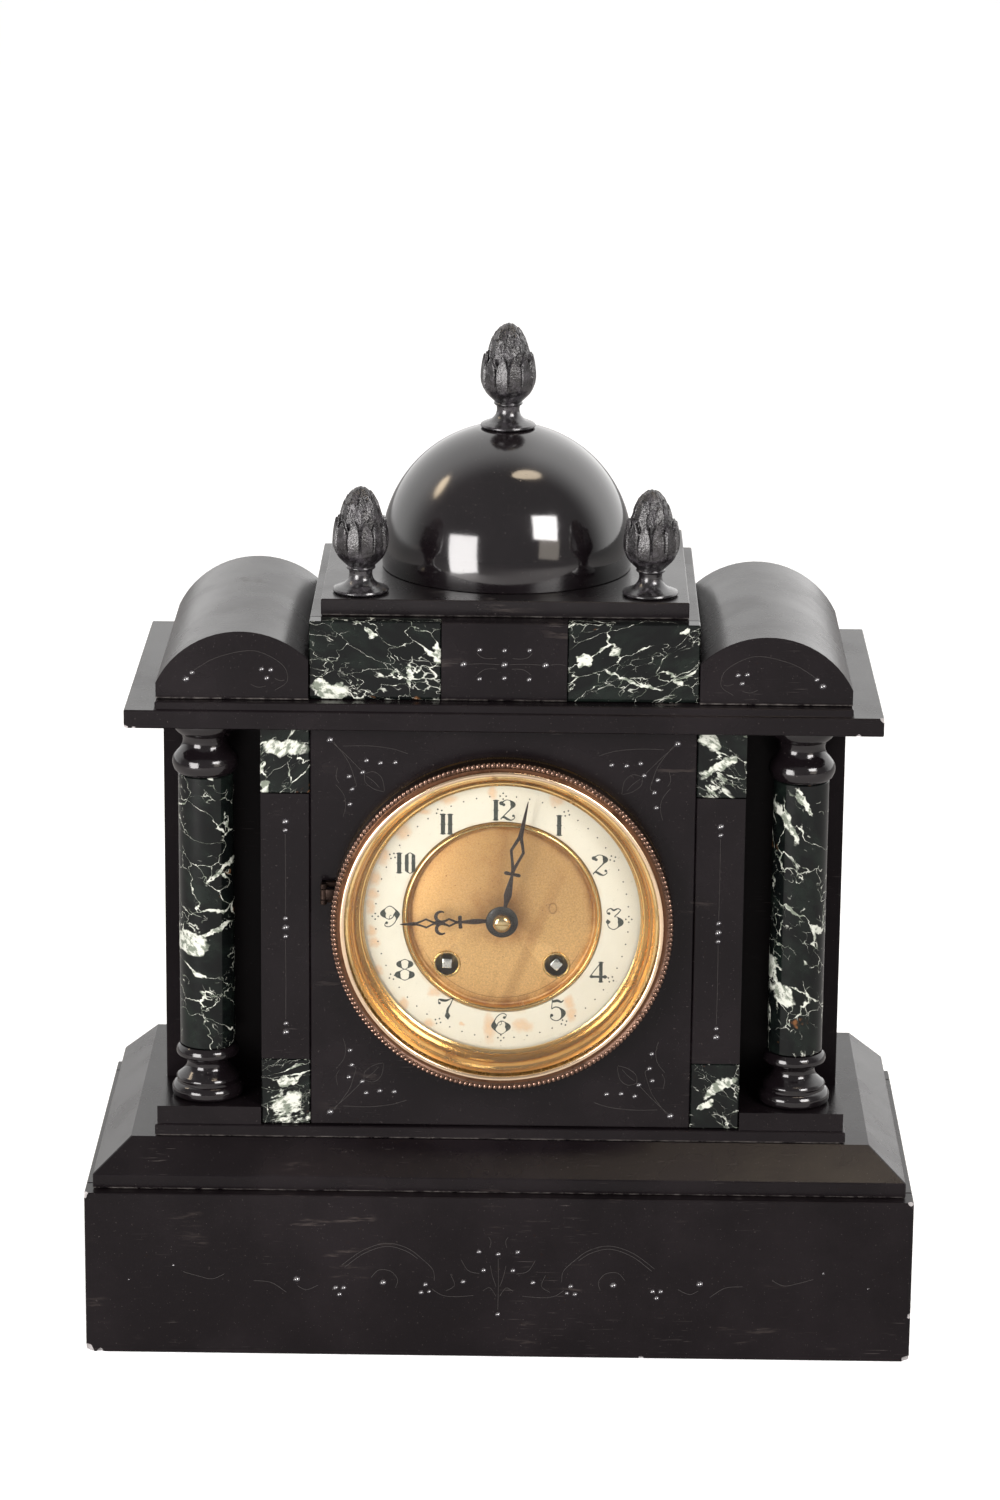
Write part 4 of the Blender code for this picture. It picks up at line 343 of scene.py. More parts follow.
def as_mesh(piece):
    """The evaluated mesh of a piece, which is then removed."""
    graph = bpy.context.evaluated_depsgraph_get()
    mesh = bpy.data.meshes.new_from_object(piece.evaluated_get(graph))
    bpy.data.objects.remove(piece, do_unlink=True)
    return mesh


def shown(name, mesh, *finishes):
    """A new piece at the origin, with its finishes and its round stretches shaded smooth."""
    mesh.name = name
    if finishes:
        mesh.materials.clear()
        for finish in finishes:
            mesh.materials.append(finish)
    mesh.shade_smooth()
    mesh.set_sharp_from_angle(angle=CREASE)
    return placed(name, mesh)


def mounted(piece, body, slot, *nodes):
    """Fixes a finished piece to its body and hides the CAD nodes that it stands for. The slot is not used."""
    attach(piece, body)
    if nodes:
        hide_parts(*nodes)


def cut(blank_mesh, cutter_mesh, **settings):
    """The first mesh without what the second one takes away."""
    blank, cutter = placed("blank", blank_mesh), placed("cutter", cutter_mesh)
    step = blank.modifiers.new("cut", "BOOLEAN")
    step.operation = "DIFFERENCE"
    step.solver = "EXACT"
    step.object = cutter
    for name, value in settings.items():
        setattr(step, name, value)
    mesh = as_mesh(blank)
    bpy.data.objects.remove(cutter, do_unlink=True)
    return mesh


def merged_copy(node, finish):
    """A CAD node's shape with its loose triangles merged and its flat faces whole, in one finish."""
    shape = bmesh.new()
    shape.from_mesh(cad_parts[node].data)
    bmesh.ops.remove_doubles(shape, verts=shape.verts, dist=MERGE)
    bmesh.ops.dissolve_limit(shape, angle_limit=0.002, verts=shape.verts, edges=shape.edges)
    corners = [vertex.co.copy() for vertex in shape.verts]
    faces = [[vertex.index for vertex in face.verts] for face in shape.faces]
    shape.free()
    mesh = bpy.data.meshes.new(node)
    mesh.from_pydata(corners, [], faces)
    mesh.materials.append(finish)
    return mesh


def pit_cutter(shape, x, y, z, radius):
    ball = bmesh.ops.create_uvsphere(shape, u_segments=18, v_segments=10, radius=radius)["verts"]
    bmesh.ops.rotate(shape, verts=ball, matrix=Matrix.Rotation(math.pi / 2, 3, "X"))
    bmesh.ops.translate(shape, verts=ball, vec=(x, y - radius * PIT_LIFT, z))


def chip_cutter(shape, x, y, z, size):
    """A rough wedge of stone that was knocked off."""
    chips = random.Random(round(x * 1e4) + round(z * 1e4))
    stone = bmesh.ops.create_icosphere(shape, subdivisions=2, radius=size)["verts"]
    for vertex in stone:
        vertex.co *= 1.0 + chips.uniform(-0.28, 0.28)
    bmesh.ops.translate(shape, verts=stone, vec=(x, y, z))
    for face in {face for vertex in stone for face in vertex.link_faces}:
        face.material_index = 1


def scratch_cutter(lines, y):
    """Thin tubes whose inner halves cut the scratched lines."""
    curve = bpy.data.curves.new("scratches", "CURVE")
    curve.dimensions = "3D"
    curve.bevel_depth = SCRATCH
    curve.bevel_resolution = 0
    curve.use_fill_caps = True
    for line in lines:
        path = through(line)
        spline = curve.splines.new("POLY")
        spline.points.add(len(path) - 1)
        for point, (x, z) in zip(spline.points, path):
            point.co = (x, y - SCRATCH * 0.2, z, 1.0)
    return as_mesh(placed("scratches", curve))


def engraved(node, finish, pits=(), lines=(), chips=()):
    """Cuts pits, scratches and chips into a copy of a slate node's front."""
    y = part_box(node)[0].y
    shape = bmesh.new()
    if lines:
        shape.from_mesh(scratch_cutter(lines, y))
        bmesh.ops.remove_doubles(shape, verts=shape.verts, dist=MERGE)
        for face in shape.faces:
            face.material_index = 2
    for x, z, radius in pits:
        pit_cutter(shape, x, y, z, radius)
    for place in chips:
        chip_cutter(shape, *place)
    bmesh.ops.recalc_face_normals(shape, faces=shape.faces)
    slab = merged_copy(node, finish)
    mesh = cut(slab, finished(shape, PIT, BROKEN, SCRATCHED), use_self=True, material_mode="TRANSFER")
    mounted(shown(node + "_engraved", mesh), "case", "slate", node)


def centre_of(node):
    low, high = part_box(node)
    return (low + high) / 2


def mirrored(pits, lines, x=0.0, z=0.0, signs=((1, 1), (-1, 1))):
    """A pattern in millimetres from its centre, repeated on the sides that the signs name."""
    all_pits, all_lines = [], []
    for across, up in signs:
        all_pits += [(x + across * px / 1000, z + up * pz / 1000, radius) for px, pz, radius in pits]
        all_lines += [[(x + across * px / 1000, z + up * pz / 1000) for px, pz in line] for line in lines]
    return all_pits, all_lines


corner_pits = [
    (72.2, 82.0, LARGE_PIT), (45.0, 72.6, SMALL_PIT), (51.2, 72.3, SMALL_PIT), (57.0, 73.3, SMALL_PIT),
    (58.6, 68.2, SMALL_PIT), (64.3, 66.3, SMALL_PIT), (63.0, 60.8, SMALL_PIT), (63.9, 54.3, SMALL_PIT),
]
corner_lines = [
    [(71.2, 81.0), (65.4, 75.5), (59.4, 69.2)],
    [(70.6, 81.2), (64.6, 72.8), (62.1, 66.0), (61.2, 62.4), (62.6, 61.6)],
    [(66.7, 79.4), (56.3, 79.6), (46.4, 78.5), (39.7, 76.4)],
    [(57.8, 67.6), (57.4, 63.9), (53.8, 61.0), (49.7, 59.8)],
    [(57.8, 67.6), (53.8, 68.4), (50.5, 65.6), (49.4, 60.0)],
    [(56.9, 66.6), (53.9, 64.2), (51.6, 61.6)],
    [(69.6, 62.6), (66.4, 58.3), (65.6, 53.5), (66.7, 48.8)],
    [(69.0, 70.0), (69.6, 66.0), (68.4, 63.4)],
]
panel = centre_of("front_panel")
four = ((1, 1), (-1, 1), (1, -1), (-1, -1))
engraved("front_panel", SLATE, *mirrored(corner_pits, corner_lines, 0.0, panel.z, four))

post_pits = [(0.0, 46.4, LARGE_PIT), (0.0, 42.6, SMALL_PIT), (0.0, 4.0, SMALL_PIT)]
post_lines = [[(0.0, 40.9), (0.12, 24.0), (0.0, 5.6)]]
for word in ("left", "right"):
    post = centre_of("pilaster_" + word)
    pits, lines = mirrored(post_pits, post_lines, post.x, post.z, ((1, 1), (1, -1)))
    engraved("pilaster_" + word, SLATE, [*pits, (post.x, post.z, LARGE_PIT)], lines)

attic = centre_of("attic_block")
frieze_pits = [(17.0, 0.0, LARGE_PIT), (10.3, 6.2, SMALL_PIT), (10.3, -6.2, SMALL_PIT)]
frieze_lines = [
    [(11.4, 4.9), (9.6, 3.1), (6.6, 2.5), (3.4, 2.7)],
    [(11.0, -4.3), (8.6, -2.4), (5.8, -1.8), (3.2, -1.9)],
    [(15.4, 0.0), (9.0, 0.3), (2.0, 0.0)],
    [(19.0, 0.1), (22.6, 0.4), (25.2, 0.0)],
]
pits, lines = mirrored(frieze_pits, frieze_lines, 0.0, attic.z - 0.001)
pits += [
    (0.0, attic.z - 0.001, LARGE_PIT), (0.0, attic.z + 0.005, SMALL_PIT), (0.0, attic.z - 0.0068, SMALL_PIT),
]
engraved("attic_block", SLATE, pits, lines)

arch_pits = [
    (131.7, 8.4, LARGE_PIT), (129.2, 11.2, SMALL_PIT), (100.4, 13.0, SMALL_PIT), (96.6, 12.7, SMALL_PIT),
    (98.3, 9.2, SMALL_PIT),
]
arch_lines = [
    [(128.3, 12.2), (119.7, 17.4), (107.9, 20.6), (100.0, 19.9), (91.4, 14.6), (89.7, 8.0), (94.8, 4.1)],
    [(94.8, 9.0), (92.6, 8.1), (90.8, 8.4)],
    [(104.8, 6.4), (101.8, 5.2), (98.6, 5.8)],
]
for across, word in ((1, "right"), (-1, "left")):
    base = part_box("arch_" + word)[0].z
    engraved("arch_" + word, SLATE, *mirrored(arch_pits, arch_lines, 0.0, base, ((across, 1),)))

plinth_pits = [
    (48.8, -2.7, LARGE_PIT), (8.2, 11.8, SMALL_PIT), (6.2, 3.4, SMALL_PIT), (14.8, -1.9, SMALL_PIT),
    (30.8, -3.4, SMALL_PIT), (29.2, -6.6, SMALL_PIT * 0.8), (32.6, -7.0, SMALL_PIT),
    (65.5, -5.3, SMALL_PIT), (68.9, -5.3, SMALL_PIT), (67.2, -8.3, SMALL_PIT),
    (85.4, -1.6, LARGE_PIT), (137.6, 3.9, SMALL_PIT * 0.5), (156.6, -2.9, SMALL_PIT * 0.4),
]
plinth_lines = [
    [(66.2, 4.9), (57.2, 11.7), (47.5, 15.0), (38.6, 13.0), (31.4, 7.4), (27.5, 3.0), (27.0, -1.6)],
    [(65.0, 3.9), (56.8, 10.3), (47.5, 13.6), (39.4, 11.8), (34.0, 8.2)],
    [(53.8, -0.6), (50.6, 2.8), (45.6, 2.4), (42.6, -1.2), (43.4, -5.2)],
    [(84.9, -4.8), (81.2, -6.5), (76.3, -4.4)],
    [(103.6, -2.7), (96.2, -3.4), (89.8, -7.7)],
    [(133.4, 1.0), (127.3, -0.8), (121.2, -2.1), (116.1, 0.2)],
    [(28.0, -5.4), (23.6, -8.2), (17.8, -8.8), (10.4, -8.2)],
    [(15.7, 8.0), (12.6, 3.1), (7.8, 1.8)],
    [(3.3, 5.4), (2.4, 1.0), (0.8, -4.0)],
    [(6.4, -6.0), (3.4, -4.6), (0.8, -8.4)],
    [(4.1, 18.4), (3.1, 16.4), (3.6, 13.6)],
    [(20.2, 1.4), (18.4, -3.6), (22.0, -6.2)],
]
front = centre_of("plinth_front")
low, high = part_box("plinth_front")
pits, lines = mirrored(plinth_pits, plinth_lines, 0.0, front.z)
pits += [(0.0, front.z + 0.0108, SMALL_PIT), (0.0, front.z - 0.0165, SMALL_PIT)]
lines += [[(0.0, front.z + 0.0088), (0.0002, front.z - 0.003), (0.0, front.z - 0.0145)]]
plinth_chips = [
    (low.x, low.y, low.z, 0.0034), (low.x + 0.006, low.y, low.z, 0.0016), (high.x, low.y, low.z, 0.0030),
    (high.x - 0.0012, low.y, high.z, 0.0014), (low.x, low.y, high.z, 0.0020),
    (high.x, low.y, low.z + 0.021, 0.0012), (0.061, low.y, low.z, 0.0012),
]
PLINTH_SLATE = slate_finish("plinth_slate", 0.33, 0.17, smears=1.3)
engraved("plinth_front", PLINTH_SLATE, pits, lines, plinth_chips)

low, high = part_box("cornice")
cornice_chips = [
    (low.x, low.y, low.z, 0.0016), (high.x, low.y, top_of("cornice") - 0.0035, 0.0018),
    (low.x + 0.004, low.y, low.z, 0.0010), (high.x - 0.0105, low.y, low.z, 0.0010),
]
engraved("cornice", SLATE, chips=cornice_chips)


# Green marble: six flat pieces let into the pilasters and the attic, and the two column shafts,
# sawn from a broken green-black rock that white and pale green veins have healed, and polished.
VEIN_WHITE = (0.52, 0.535, 0.475)
VEIN_GREEN = (0.145, 0.165, 0.130)
ROCK_BLACK = (0.0025, 0.0032, 0.0032)
ROCK_GREEN = (0.0065, 0.0100, 0.0080)
RUST_FLECK = (0.13, 0.055, 0.020)
BLOB_SHIFT = 0.0066  # how far the two warps push the place on the average


def warped(place, scale, reach):
    """The place pushed about by soft noise, so that straight edges become natural ones."""
    cloud = place.node("TexNoise", {"Vector": place, "Scale": scale, "Detail": 3.0}, output=1)
    sockets = {0: cloud, 1: (reach, reach, reach), 2: place}
    return place.node("VectorMath", sockets, operation="MULTIPLY_ADD")


def cracks(place, scale):
    """The distance to the nearest crack in broken rock."""
    return place.node("TexVoronoi", {"Vector": place, "Scale": scale}, feature="DISTANCE_TO_EDGE")


def marble_finish(name, shift, cell, turn, blobs, veins=1.0, cloudy=0.0, stretch=(0.62, 1.0, 1.35)):
    """Veined marble. Blobs are white patches: centre x, z, half sizes across and up, and tilt."""
    finish, shader, place = new_finish(name)
    moved = place.mapped(turn=(0.0, turn, 0.0)).mapped(scale=stretch, shift=shift)
    bent = warped(warped(moved, 60.0, 0.020), 230.0, 0.0042)
    swell = moved.noise(62.0, 4.0, 0.7)
    cells = cracks(bent, cell)
    width = swell.above(0.50, 0.76) * 0.13 * veins + 0.005
    bold = cells.above(width, width * 0.5) * bent.noise(44.0, 2.0).above(0.42, 0.47)
    curled = warped(moved, 120.0, 0.013)
    small_cells = cracks(curled, cell * 2.5)
    thin = moved.noise(140.0, 3.0).above(0.40, 0.66) * 0.055 + 0.004
    fine = small_cells.above(thin, thin * 0.3) * bent.noise(80.0, 3.0).above(0.53, 0.58) * 0.7
    speckle = moved.noise(420.0, 5.0, 0.72)
    patch = (moved.noise(46.0, 5.0, 0.7) + cloudy).above(0.665, 0.70) * speckle.above(0.42, 0.50)
    x, _, z = warped(warped(place, 110.0, 0.010), 420.0, 0.0032).axes()
    white = bold.at_least(fine).at_least(patch)
    for blob_x, blob_z, half, rise, tilt in blobs:
        across = x - (blob_x + BLOB_SHIFT)
        up = z - (blob_z + BLOB_SHIFT)
        slant = math.radians(tilt)
        along = (across * math.cos(slant) + up * math.sin(slant)) / half
        aside = (up * math.cos(slant) - across * math.sin(slant)) / rise
        spot = (along * along + aside * aside).above(1.0, 0.6) * speckle.above(0.31, 0.38)
        white = white.at_least(spot)
    pale = moved.noise(300.0, 4.0, 0.7).above(0.42, 0.54).blend(VEIN_GREEN, VEIN_WHITE)
    rock = moved.noise(95.0, 5.0, 0.65).above(0.42, 0.72).blend(ROCK_BLACK, ROCK_GREEN)
    rust = moved.noise(120.0, 3.0).above(0.69, 0.76)
    plug(shader, {"Base Color": white.blend(rust.blend(rock, RUST_FLECK), pale)})
    plug(shader, {"Roughness": white * 0.18 + 0.11})
    shader.inputs["Specular IOR Level"].default_value = 0.24
    return finish


flat_marbles = {
    "frieze_marble_left": dict(
        shift=(0.31, 0.0, 0.12), cell=84.0, turn=-0.35,
        blobs=[(-0.0725, 0.2865, 0.0090, 0.0028, -14), (-0.0395, 0.2930, 0.0014, 0.0068, 4),
               (-0.0560, 0.3110, 0.0036, 0.0012, -30)],
    ),
    "frieze_marble_right": dict(
        shift=(0.57, 0.0, 0.41), cell=80.0, veins=0.7, turn=0.45,
        blobs=[(0.0335, 0.3000, 0.0034, 0.0014, -38), (0.0520, 0.2920, 0.0130, 0.0008, -20),
               (0.0740, 0.3130, 0.0014, 0.0022, 0)],
    ),
    "marble_high_left": dict(
        shift=(0.11, 0.0, 0.83), cell=92.0, cloudy=0.02, turn=0.9,
        blobs=[(-0.0900, 0.2615, 0.0095, 0.0040, 8), (-0.0985, 0.2450, 0.0022, 0.0030, 0)],
    ),
    "marble_high_right": dict(
        shift=(0.73, 0.0, 0.29), cell=84.0, cloudy=0.02, turn=-0.6,
        blobs=[(0.0900, 0.2560, 0.0110, 0.0024, 24), (0.0850, 0.2660, 0.0040, 0.0040, 0)],
    ),
    "marble_low_left": dict(
        shift=(0.37, 0.0, 0.53), cell=128.0, cloudy=0.08, turn=0.3,
        blobs=[(-0.0935, 0.1045, 0.0050, 0.0028, 30), (-0.0885, 0.1065, 0.0040, 0.0030, 0),
               (-0.0905, 0.1145, 0.0050, 0.0026, 20)],
    ),
    "marble_low_right": dict(
        shift=(0.21, 0.0, 0.17), cell=86.0, cloudy=0.03, turn=-0.7,
        blobs=[(0.0925, 0.1150, 0.0090, 0.0024, 38), (0.0860, 0.1060, 0.0042, 0.0026, 10)],
    ),
}
for node, pattern in flat_marbles.items():
    dress(marble_finish(node + "_rock", **pattern), node, slot="green_marble")


# Columns: a turned slate base and capital with a polished marble shaft between them, on a dowel.
# Each is turned and polished by itself, so its arrises are soft and its mouldings catch the lamps.
TURNED_SLATE = slate_finish("turned_slate", 0.14, 0.58, smears=0.25)
ROUND_STEPS = 5  # steps between two points of a smooth run
SAME_PLACE = 1e-7
ON_AXIS = 1e-6
SHAFT_EASE = 0.0004


def profile(*stops):
    """Runs of a lathe outline of radius and height: straight to a point, smooth through a list of points."""
    runs, last = [], stops[0]
    for stop in stops[1:]:
        run = [last, *stop] if isinstance(stop, list) else [last, stop]
        runs.append(run)
        last = run[-1]
    return runs


def turned(runs, steps=96, at=(0.0, 0.0, 0.0), forward=False, closed=False, finish=None):
    """A lathe shape about Z, or about -Y where it faces forward."""
    outline = []
    for run in runs:
        for spot in (through(run, ROUND_STEPS) if len(run) > 2 else run):
            if not outline or math.dist(spot, outline[-1]) > SAME_PLACE:
                outline.append(spot)
    shape = bmesh.new()
    rings = []
    for radius, height in outline:
        count = steps if radius > ON_AXIS else 1
        ring = []
        for i in range(count):
            turn = 2 * math.pi * i / steps
            across, aside = radius * math.cos(turn), radius * math.sin(turn)
            offset = (across, -height, aside) if forward else (across, aside, height)
            ring.append(shape.verts.new([a + b for a, b in zip(at, offset)]))
        rings.append(ring)
    for first, second in zip(rings, rings[1:] + rings[:1] if closed else rings[1:]):
        for i in range(steps):
            corners = [first[i % len(first)], first[(i + 1) % len(first)],
                       second[(i + 1) % len(second)], second[i % len(second)]]
            corners = list(dict.fromkeys(corners))
            if len(corners) > 2:
                shape.faces.new(corners)
    bmesh.ops.recalc_face_normals(shape, faces=shape.faces)
    return finished(shape, *([finish] if finish else []))


shaft_marbles = {
    "left": dict(
        shift=(0.91, 0.3, 0.63), cell=60.0, veins=0.9, stretch=(0.75, 0.9, 1.2), turn=-0.5,
        blobs=[(-0.1315, 0.1735, 0.0085, 0.0048, 8), (-0.1200, 0.1790, 0.0070, 0.0014, 24),
               (-0.1180, 0.2060, 0.0090, 0.0011, 38)],
    ),
    "right": dict(
        shift=(0.47, 0.6, 0.25), cell=58.0, veins=0.9, stretch=(0.75, 0.9, 1.2), turn=-0.9,
        blobs=[(0.1185, 0.2290, 0.0018, 0.0105, 24), (0.1190, 0.1540, 0.0065, 0.0040, -30),
               (0.1155, 0.1640, 0.0022, 0.0070, 0), (0.1260, 0.2390, 0.0016, 0.0075, 40)],
    ),
}
for word, pattern in shaft_marbles.items():
    low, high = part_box("column_base_" + word)
    x, y = (low.x + high.x) / 2, (low.y + high.y) / 2
    rise = high.z - low.z
    base = profile(
        (0.0, 0.0), (0.0142, 0.0),
        [(0.0151, 0.0009), (0.0153, 0.0023), (0.0152, 0.0038), (0.0143, 0.0053), (0.0133, 0.0060)],
        (0.0132, 0.0069), [(0.0134, 0.0080), (0.0129, 0.0090)],
        [(0.0113, 0.0104), (0.0096, 0.0122), (0.0090, 0.0140), (0.0094, 0.0158), (0.0108, 0.0171)],
        (0.0121, 0.0175), [(0.0132, 0.0184), (0.0134, 0.0198), (0.0129, 0.0214), (0.0119, rise)], (0.0, rise),
    )
    mesh = turned(base, at=(x, y, low.z))
    mounted(shown("column_foot_" + word, mesh, TURNED_SLATE), "case", "slate", "column_base_" + word)
    low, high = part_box("column_capital_" + word)
    rise = high.z - low.z
    capital = profile(
        (0.0, 0.0), (0.0118, 0.0),
        [(0.0131, 0.0013), (0.0139, 0.0034), (0.0140, 0.0052), (0.0134, 0.0073), (0.0121, 0.0091)],
        [(0.0107, 0.0109), (0.0098, 0.0128), (0.0097, 0.0146), (0.0103, 0.0166)], (0.0112, 0.0170),
        [(0.0128, 0.0188), (0.0137, 0.0210), (0.0138, rise)], (0.0, rise),
    )
    mesh = turned(capital, at=(x, y, low.z))
    mounted(shown("column_head_" + word, mesh, TURNED_SLATE), "case", "slate", "column_capital_" + word)
    low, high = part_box("column_shaft_" + word)
    rise, radius = high.z - low.z, (high.x - low.x) / 2
    shaft = profile(
        (0.0, 0.0), (radius - SHAFT_EASE, 0.0), (radius, SHAFT_EASE),
        (radius, rise - SHAFT_EASE), (radius - SHAFT_EASE, rise), (0.0, rise),
    )
    mesh = turned(shaft, at=(x, y, low.z))
    rock = marble_finish("shaft_rock_" + word, **pattern)
    mounted(shown("column_marble_" + word, mesh, rock), "case", "green_marble", "column_shaft_" + word)


# Dome: turned from one block of slate and polished brighter than the slabs, with a flat for its
# finial. It is cemented to the top slab through a thin bed of plaster.
DOME_SLATE = slate_finish("dome_slate", 0.13, 0.80, smears=0.35, ripple=0.015)
DOME_FLAT = 0.0120
DOME_STEPS = 32


def foot_of(node):
    low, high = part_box(node)
    return Vector(((low.x + high.x) / 2, (low.y + high.y) / 2, low.z))


low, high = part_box("dome")
dome_radius = (high.x - low.x) / 2
foot = low.z - high.z + math.sqrt(dome_radius**2 - DOME_FLAT**2)
first, last = math.asin(foot / dome_radius), math.acos(DOME_FLAT / dome_radius)
turns = [first + (last - first) * i / DOME_STEPS for i in range(DOME_STEPS + 1)]
arc = [(dome_radius * math.cos(turn), dome_radius * math.sin(turn) - foot) for turn in turns]
mesh = turned(profile((0.0, 0.0), *arc, (0.0, arc[-1][1])), steps=160, at=foot_of("dome"))
mounted(shown("polished_dome", mesh, DOME_SLATE), "case", "slate", "dome")


# Finials: pine cones of dark cast metal on turned stems. Two rows of tall pointed leaves lie round the
# cup, and close rows of scales climb the cone above. Each is screwed down through its round flange.
def cast_metal(name, roughness, lumps):
    """Dark metal as it came out of the sand, with dirt left in its hollows."""
    finish, shader, place = new_finish(name)
    worn = place.noise(260.0, 4.0, 0.6).above(0.44, 0.64)
    grit = place.noise(1050.0, 3.0, 0.6)
    plug(shader, {"Base Color": worn.blend((0.008, 0.007, 0.008), (0.034, 0.031, 0.035))})
    plug(shader, {"Roughness": grit * 0.30 + roughness, "Normal": grit.bump(lumps, 0.0005)})
    shader.inputs["Specular IOR Level"].default_value = 0.80
    return finish


CAST = cast_metal("finial_cast", 0.12, 0.60)
CAST_STEM = cast_metal("finial_stem", 0.06, 0.10)


def repeat_tree():
    """Puts a copy of a piece at each point, turned by the point's own value."""
    tree = bpy.data.node_groups.new("repeat", "GeometryNodeTree")
    face = tree.interface
    face.new_socket("Points", in_out="INPUT", socket_type="NodeSocketGeometry")
    sockets = [face.new_socket(name, in_out="INPUT", socket_type="NodeSocket" + kind)
               for name, kind in (("Piece", "Object"), ("Size", "Float"), ("Finish", "Material"))]
    face.new_socket("Pieces", in_out="OUTPUT", socket_type="NodeSocketGeometry")
    start, end, source, spread, turn, solid, coated = (
        tree.nodes.new(kind) for kind in (
            "NodeGroupInput", "NodeGroupOutput", "GeometryNodeObjectInfo", "GeometryNodeInstanceOnPoints",
            "GeometryNodeInputNamedAttribute", "GeometryNodeRealizeInstances", "GeometryNodeSetMaterial",
        )
    )
    turn.data_type = "FLOAT_VECTOR"
    turn.inputs["Name"].default_value = "turn"
    for giver, output, taker, entry in (
        (start, "Points", spread, "Points"), (start, "Piece", source, "Object"),
        (start, "Size", spread, "Scale"), (source, "Geometry", spread, "Instance"),
        (turn, "Attribute", spread, "Rotation"), (spread, "Instances", solid, "Geometry"),
        (solid, "Geometry", coated, "Geometry"), (start, "Finish", coated, "Material"),
        (coated, "Geometry", end, "Pieces"),
    ):
        tree.links.new(giver.outputs[output], taker.inputs[entry])
    return tree, [socket.identifier for socket in sockets]


REPEAT, REPEAT_INPUTS = repeat_tree()


def repeated(shape_mesh, spots, finish, size=1.0):
    """The realized mesh of a shape repeated at spots, each a place and a turn."""
    points = bpy.data.meshes.new("points")
    points.from_pydata([spot for spot, _ in spots], [], [])
    turns = points.attributes.new("turn", "FLOAT_VECTOR", "POINT")
    for value, (_, turn) in zip(turns.data, spots):
        value.vector = turn
    piece, field = placed("piece", shape_mesh), placed("field", points)
    step = field.modifiers.new("repeat", "NODES")
    step.node_group = REPEAT
    for key, value in zip(REPEAT_INPUTS, (piece, size, finish)):
        step[key] = value
    mesh = as_mesh(field)
    bpy.data.objects.remove(piece, do_unlink=True)
    return mesh


def along(line, height):
    """The radius of a line of radius and height at a height."""
    for (r0, h0), (r1, h1) in zip(line, line[1:]):
        if h0 <= height <= h1:
            return r0 + (r1 - r0) * (height - h0) / (h1 - h0)
    return line[-1][0]


PETAL_ROWS = 6
PETAL_ACROSS = (-1.0, -0.76, 0.0, 0.76, 1.0)
PETAL_FACE = (-0.9, 0.30, -0.10, 0.30, -0.9)
PETAL_BACK = (-1.6, -1.6, -1.6, -1.6, -1.6)


def petal(line, foot, tall, half, depth, curl):
    """A pointed leaf or scale round a line of radius and height, facing +X; half its width is an angle."""
    shape = bmesh.new()
    rims = []
    for relief in (PETAL_FACE, PETAL_BACK):
        grid = []
        for t in (row / PETAL_ROWS for row in range(PETAL_ROWS + 1)):
            narrow = 1.0 - 0.94 * max(0.0, (t - 0.55) / 0.45) ** 2.1
            height = foot + t * tall
            grid.append([])
            for u, share in zip(PETAL_ACROSS, relief):
                radius = along(line, height) + depth * share + curl * t**3
                turn = u * half * narrow
                grid[-1].append(shape.verts.new((radius * math.cos(turn), radius * math.sin(turn), height)))
        for lower, upper in zip(grid, grid[1:]):
            for i in range(len(lower) - 1):
                shape.faces.new((lower[i], lower[i + 1], upper[i + 1], upper[i]))
        left, right = [row[0] for row in grid[1:-1]], [row[-1] for row in grid[1:]]
        rims.append([*grid[0], *right, *reversed(grid[-1][:-1]), *reversed(left)])
    front, back = rims
    for i in range(len(front)):
        shape.faces.new((front[i - 1], front[i], back[i], back[i - 1]))
    bmesh.ops.recalc_face_normals(shape, faces=shape.faces)
    return finished(shape)


def joined(*meshes):
    """Several meshes as one, with each one's materials."""
    finishes = []
    shape = bmesh.new()
    for mesh in meshes:
        start = len(shape.faces)
        shape.from_mesh(mesh)
        shape.faces.ensure_lookup_table()
        places = []
        for finish in mesh.materials:
            if finish not in finishes:
                finishes.append(finish)
            places.append(finishes.index(finish))
        for face in shape.faces[start:]:
            face.material_index = places[min(face.material_index, len(places) - 1)]
    return finished(shape, *finishes)


cup_line = [
    (0.0100, 0.0160), (0.0110, 0.0180), (0.0115, 0.0205), (0.0116, 0.0230), (0.0113, 0.0270),
    (0.0110, 0.0315),
]
cone_line = [
    (0.0092, 0.0270), (0.0087, 0.0312), (0.0079, 0.0345), (0.0067, 0.0378), (0.0049, 0.0410),
    (0.0030, 0.0431), (0.0012, 0.0443),
]
finial_core = profile(
    (0.0, 0.0), (0.0112, 0.0), [(0.0117, 0.0006), (0.0114, 0.0014)],
    [(0.0100, 0.0020), (0.0074, 0.0031), (0.0055, 0.0050), (0.0048, 0.0072), (0.0050, 0.0092)],
    [(0.0058, 0.0097), (0.0061, 0.0103), (0.0057, 0.0109)],
    [(0.0068, 0.0120), (0.0090, 0.0142), (0.0104, 0.0165), (0.0110, 0.0190)], (0.0105, 0.0196),
    (0.0104, 0.0275), [*((radius - 0.0005, height) for radius, height in cone_line), (0.0, 0.0446)],
)
petal_rows = [  # line, foot height, height, number round, width, thickness, curl, first place round
    (cup_line, 0.0165, 0.0152, 12, 1.0, 0.0006, -0.0012, 0.5),
    (cup_line, 0.0168, 0.0140, 12, 0.98, 0.0007, -0.0005, 1.5),
]
petal_rows += [(cone_line, foot, tall, count, 1.05, 0.0004, 0.0002, first) for foot, tall, count, first in (
    (0.0272, 0.0058, 15, 0.5), (0.0303, 0.0056, 15, 1.0), (0.0332, 0.0052, 14, 0.5),
    (0.0358, 0.0050, 13, 1.0), (0.0382, 0.0044, 11, 0.5), (0.0402, 0.0036, 8, 1.5),
    (0.0418, 0.0023, 6, 0.5),
)]
